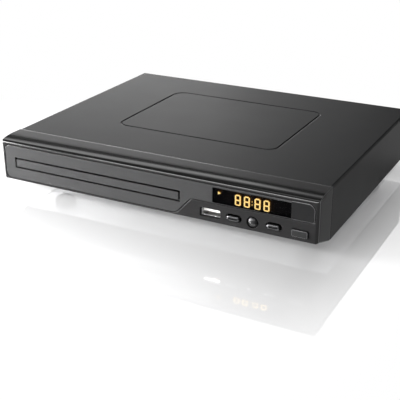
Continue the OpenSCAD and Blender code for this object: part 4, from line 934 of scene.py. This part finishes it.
def buttons():
    """Two pills with a sunk bar in their domed shoulders, a ball and a flat slab with a rounded edge."""
    bar = [(-PILL_BAR - 0.1, -CAP_OUT + 0.02), (-PILL_BAR - 0.2, -CAP_OUT + BAR_SINK)]
    pill_face = dome(PILL_BAR, PILL_SHOULDER, -CAP_OUT, 12, 0.96) + bar
    for name, x in zip(("eject_button", "stop_button"), PILLS_X):
        outline = lambda grow, x=x: pill_outline(x, grow)
        key(name, outline, x, BUTTON_Z, PILL, PILL_GAP + PILL_OFF, pill_face)
    ball_face = dome(ROUND_R, ROUND_SHOULDER, -CAP_OUT, 16, 0.96)
    key("play_button", round_outline, ROUND_X, BUTTON_Z, (2 * ROUND_R, 2 * ROUND_R), KEY_GAP, ball_face)
    slab_face = quarter(-SLAB_EDGE, SLAB_EDGE, 0, -CAP_OUT, 5)[::-1]
    key("power_button", slab_outline, SLAB_X, SLAB_Z, SLAB[:2], KEY_GAP, slab_face)


def usb_shell():
    """A drawn shell: an outer and an inner tube, closed behind and joined in front by a half round lip."""
    s = Shell()
    front, back = USB_D
    r = USB_WALL / 2
    lip = [(r * (math.cos(a) - 1), front + r * (1 - math.sin(a))) for a in np.linspace(0, math.pi, 7)]
    s.tube(rim(usb_outline, [(0, back)] + lip + [(-USB_WALL, back - 2 * USB_WALL)]))
    s.piece("usb_shell", "chassis", "usb_socket")


def usb_insulator():
    """The socket's tongue with rounded front edges, on a block at its back end."""
    s = Shell()
    x, z, w, h, _ = USB
    front, block, back = TONGUE_D
    tongue = lambda grow: panel(x, z + TONGUE_RISE, *TONGUE, grow, 4)
    s.tube(rim(tongue, quarter(-TONGUE_R, TONGUE_R, 0, front) + [(0, back)]))
    s.tube(rim(lambda grow: panel(x, z, w - 1, h - 1, 0.3, grow, 4), [(0, block), (0, back)]))
    s.piece("usb_insulator", "chassis", "usb_tongue")


def segment(s, x, z, w, h):
    """A lit capsule with a domed face."""
    front, back = SEGMENT_D
    half = min(w, h) / 2
    face = dome(half - 0.02, back - 0.05, front, 5, 0.95)
    s.tube(rim(lambda grow: panel(x, z, w, h, half - 0.01, grow, 8), [(0, back)] + face))


def digits():
    """Lit segments laid out as 88:88, with a play mark."""
    s = Shell()
    middle = WINDOW[0]
    high, wide = (DIGIT_H - STROKE) / 2, (DIGIT_W - STROKE) / 2
    for x in DIGITS_X:
        for z in (-high, 0, high):
            segment(s, middle + x, DIGITS_Z + z, DIGIT_W - 1.5 * STROKE, STROKE)
        for side in (-wide, wide):
            for z in (-high / 2, high / 2):
                segment(s, middle + x + side, DIGITS_Z + z, STROKE, high - 0.1)
    for z in COLON_Z:
        segment(s, middle + COLON_X, DIGITS_Z + z, *DOT)
    mark = bent_outline(np.array(MARK) + (middle + MARK_X, DIGITS_Z), [0.15] * 3, 0, 3)
    s.tube(np.array([upright(mark, y) for y in SEGMENT_D[::-1]]))
    s.piece("digits", "chassis", "display_digits", crease=60)


for make in (bezel, fascia, door, cover, buttons, usb_shell, usb_insulator, digits):
    make()


# --- Studio: metres ---
LAMPS = [       # name, place, aim, size, spread in degrees, radiance
    ("left_key", (-0.50, -0.32, 0.15), (-0.13, -0.10, 0.02), (0.26, 0.26), 60, 8.0),
    ("left_fill", (-0.55, -0.40, 0.20), (-0.05, -0.09, 0.02), (0.30, 0.36), 180, 4.0),
    ("front_left", (-0.40, -0.85, 0.30), (-0.03, -0.09, 0.03), (0.5, 0.4), 180, 1.2),
    ("front_strip", (-0.05, -0.68, 0.46), (0.03, -0.09, 0.03), (0.9, 0.14), 180, 11.0),
]
PANELS = [      # low and high edge, right and left edge in degrees, radiance
    (0, 12, 15, 25, 2.9), (0, 12, 25, 35, 10.0), (0, 12, 35, 50, 8.0),
    (12, 25, 15, 25, 0.4), (12, 25, 25, 50, 1.0),
    (40, 47, 10, 27, 0.9), (37, 44, 27, 60, 2.2),
]
RISE, SIDE = 2.0, 3.0           # degrees to each side over which the panels' level and upright edges fade
TOP_FROM = (65, 70)             # the light from above starts between these elevations
TOP_LIGHT, DARK_ROOM = 1.3, 0.02
FLOOR_HALF = 30.0
MIRROR_AT = -0.0085


def sine(degrees):
    """The sine of an angle in degrees: for an elevation, the height of that direction."""
    return math.sin(math.radians(degrees))


def plane(name, z, look):
    """A square far larger than the view."""
    mesh = bpy.data.meshes.new(name)
    corners = lying(oblong(FLOOR_HALF, -FLOOR_HALF, FLOOR_HALF), z)
    mesh.from_pydata(corners.tolist(), [], [(0, 1, 2, 3)])
    mesh.materials.append(look.material)
    made = bpy.data.objects.new(name, mesh)
    scene.collection.objects.link(made)


def floor():
    """A white top that takes the shadow, over a mirror. Away from the player the top is plain white to rays
    that look at it. In front of the player it lets part of them through to the mirror, and what comes back
    from below passes it."""
    top = Finish("floor_white", (0.92, 0.92, 0.925), Roughness=0.9, Specular_IOR_Level=0.0)
    x, y, _ = top.axes()
    looks = top.ray("Is Camera Ray") + top.ray("Is Glossy Ray") + top.ray("Is Transmission Ray")
    away = top.maths("SQRT", x * x + y * y)
    away = away + x * 0.4 * top.fade(y, 0.06, 0.0) + top.fade(y, 0.02, 0.16) * 0.25
    white = top.maths("MINIMUM", looks, 1.0) * top.fade(away, 0.14, 0.36, 0.25, 1.0)
    near = top.fade(y, -0.235, -0.085, 0.0, 0.55) * top.fade(y, 0.08, 0.0)
    near = near * top.fade(x, -0.6, -0.3) * top.fade(x, 0.16, 0.11, 0.5, 1.0)
    clear = top.maths("MAXIMUM", near, top.node("NewGeometry", output="Backfacing"))
    shaded = top.layered(white, top.body, top.node("Emission"))
    top.surface(top.layered(clear, shaded, top.node("BsdfTransparent")))
    plane("floor", 0.0, top)
    plane("floor_below", MIRROR_AT, Finish("floor_mirror", (0.98, 0.98, 0.98), Metallic=1.0, Roughness=0.03))


def lamp(name, place, aim, size, spread, radiance):
    """A soft lamp of a given radiance: its power is pi times radiance times area."""
    data = bpy.data.lights.new(name, "AREA")
    data.shape, data.size, data.size_y = "RECTANGLE", *size
    data.spread = math.radians(spread)
    data.energy = math.pi * radiance * size[0] * size[1]
    made = bpy.data.objects.new(name, data)
    made.location = place
    made.rotation_euler = (Vector(aim) - Vector(place)).to_track_quat("-Z", "Y").to_euler()
    scene.collection.objects.link(made)


def soft_panel(room, direction, low, high, right, left, radiance):
    """A far soft panel as part of the world: bright between two elevations and between two azimuths, which
    count from +Y in degrees and grow towards -X. Its edges fade over a few degrees."""
    x, y, z = direction
    light = room.fade(z, sine(low - RISE), sine(low + RISE))
    light = light * room.fade(z, sine(high + RISE), sine(high - RISE))
    for azimuth, side in ((right, sine(SIDE)), (left, -sine(SIDE))):
        a = math.radians(azimuth)
        light = light * room.fade(x * -math.cos(a) + y * -math.sin(a), -side, side)
    return light * radiance


def studio():
    """Soft lamps and far panels in a dark room with light from above. What the camera sees of the room is
    white, also through the clear floor."""
    floor()
    for row in LAMPS:
        lamp(*row)
    scene.world = bpy.data.worlds.new("studio")
    scene.world.use_nodes = True
    room = Nodes(scene.world.node_tree)
    direction = room.axes()
    light = room.fade(direction[2], *(sine(a) for a in TOP_FROM), DARK_ROOM, TOP_LIGHT)
    for row in PANELS:
        light = light + soft_panel(room, direction, *row)
    seen = room.maths("MAXIMUM", room.ray("Is Camera Ray"), room.ray("Transparent Depth") > 0.5)
    sky = room.tree.nodes["Background"]
    room.put(sky.inputs["Color"], (1, 1, 1))
    room.put(sky.inputs["Strength"], room.maths("MAXIMUM", light, seen))
    scene.view_settings.view_transform = "Standard"


studio()
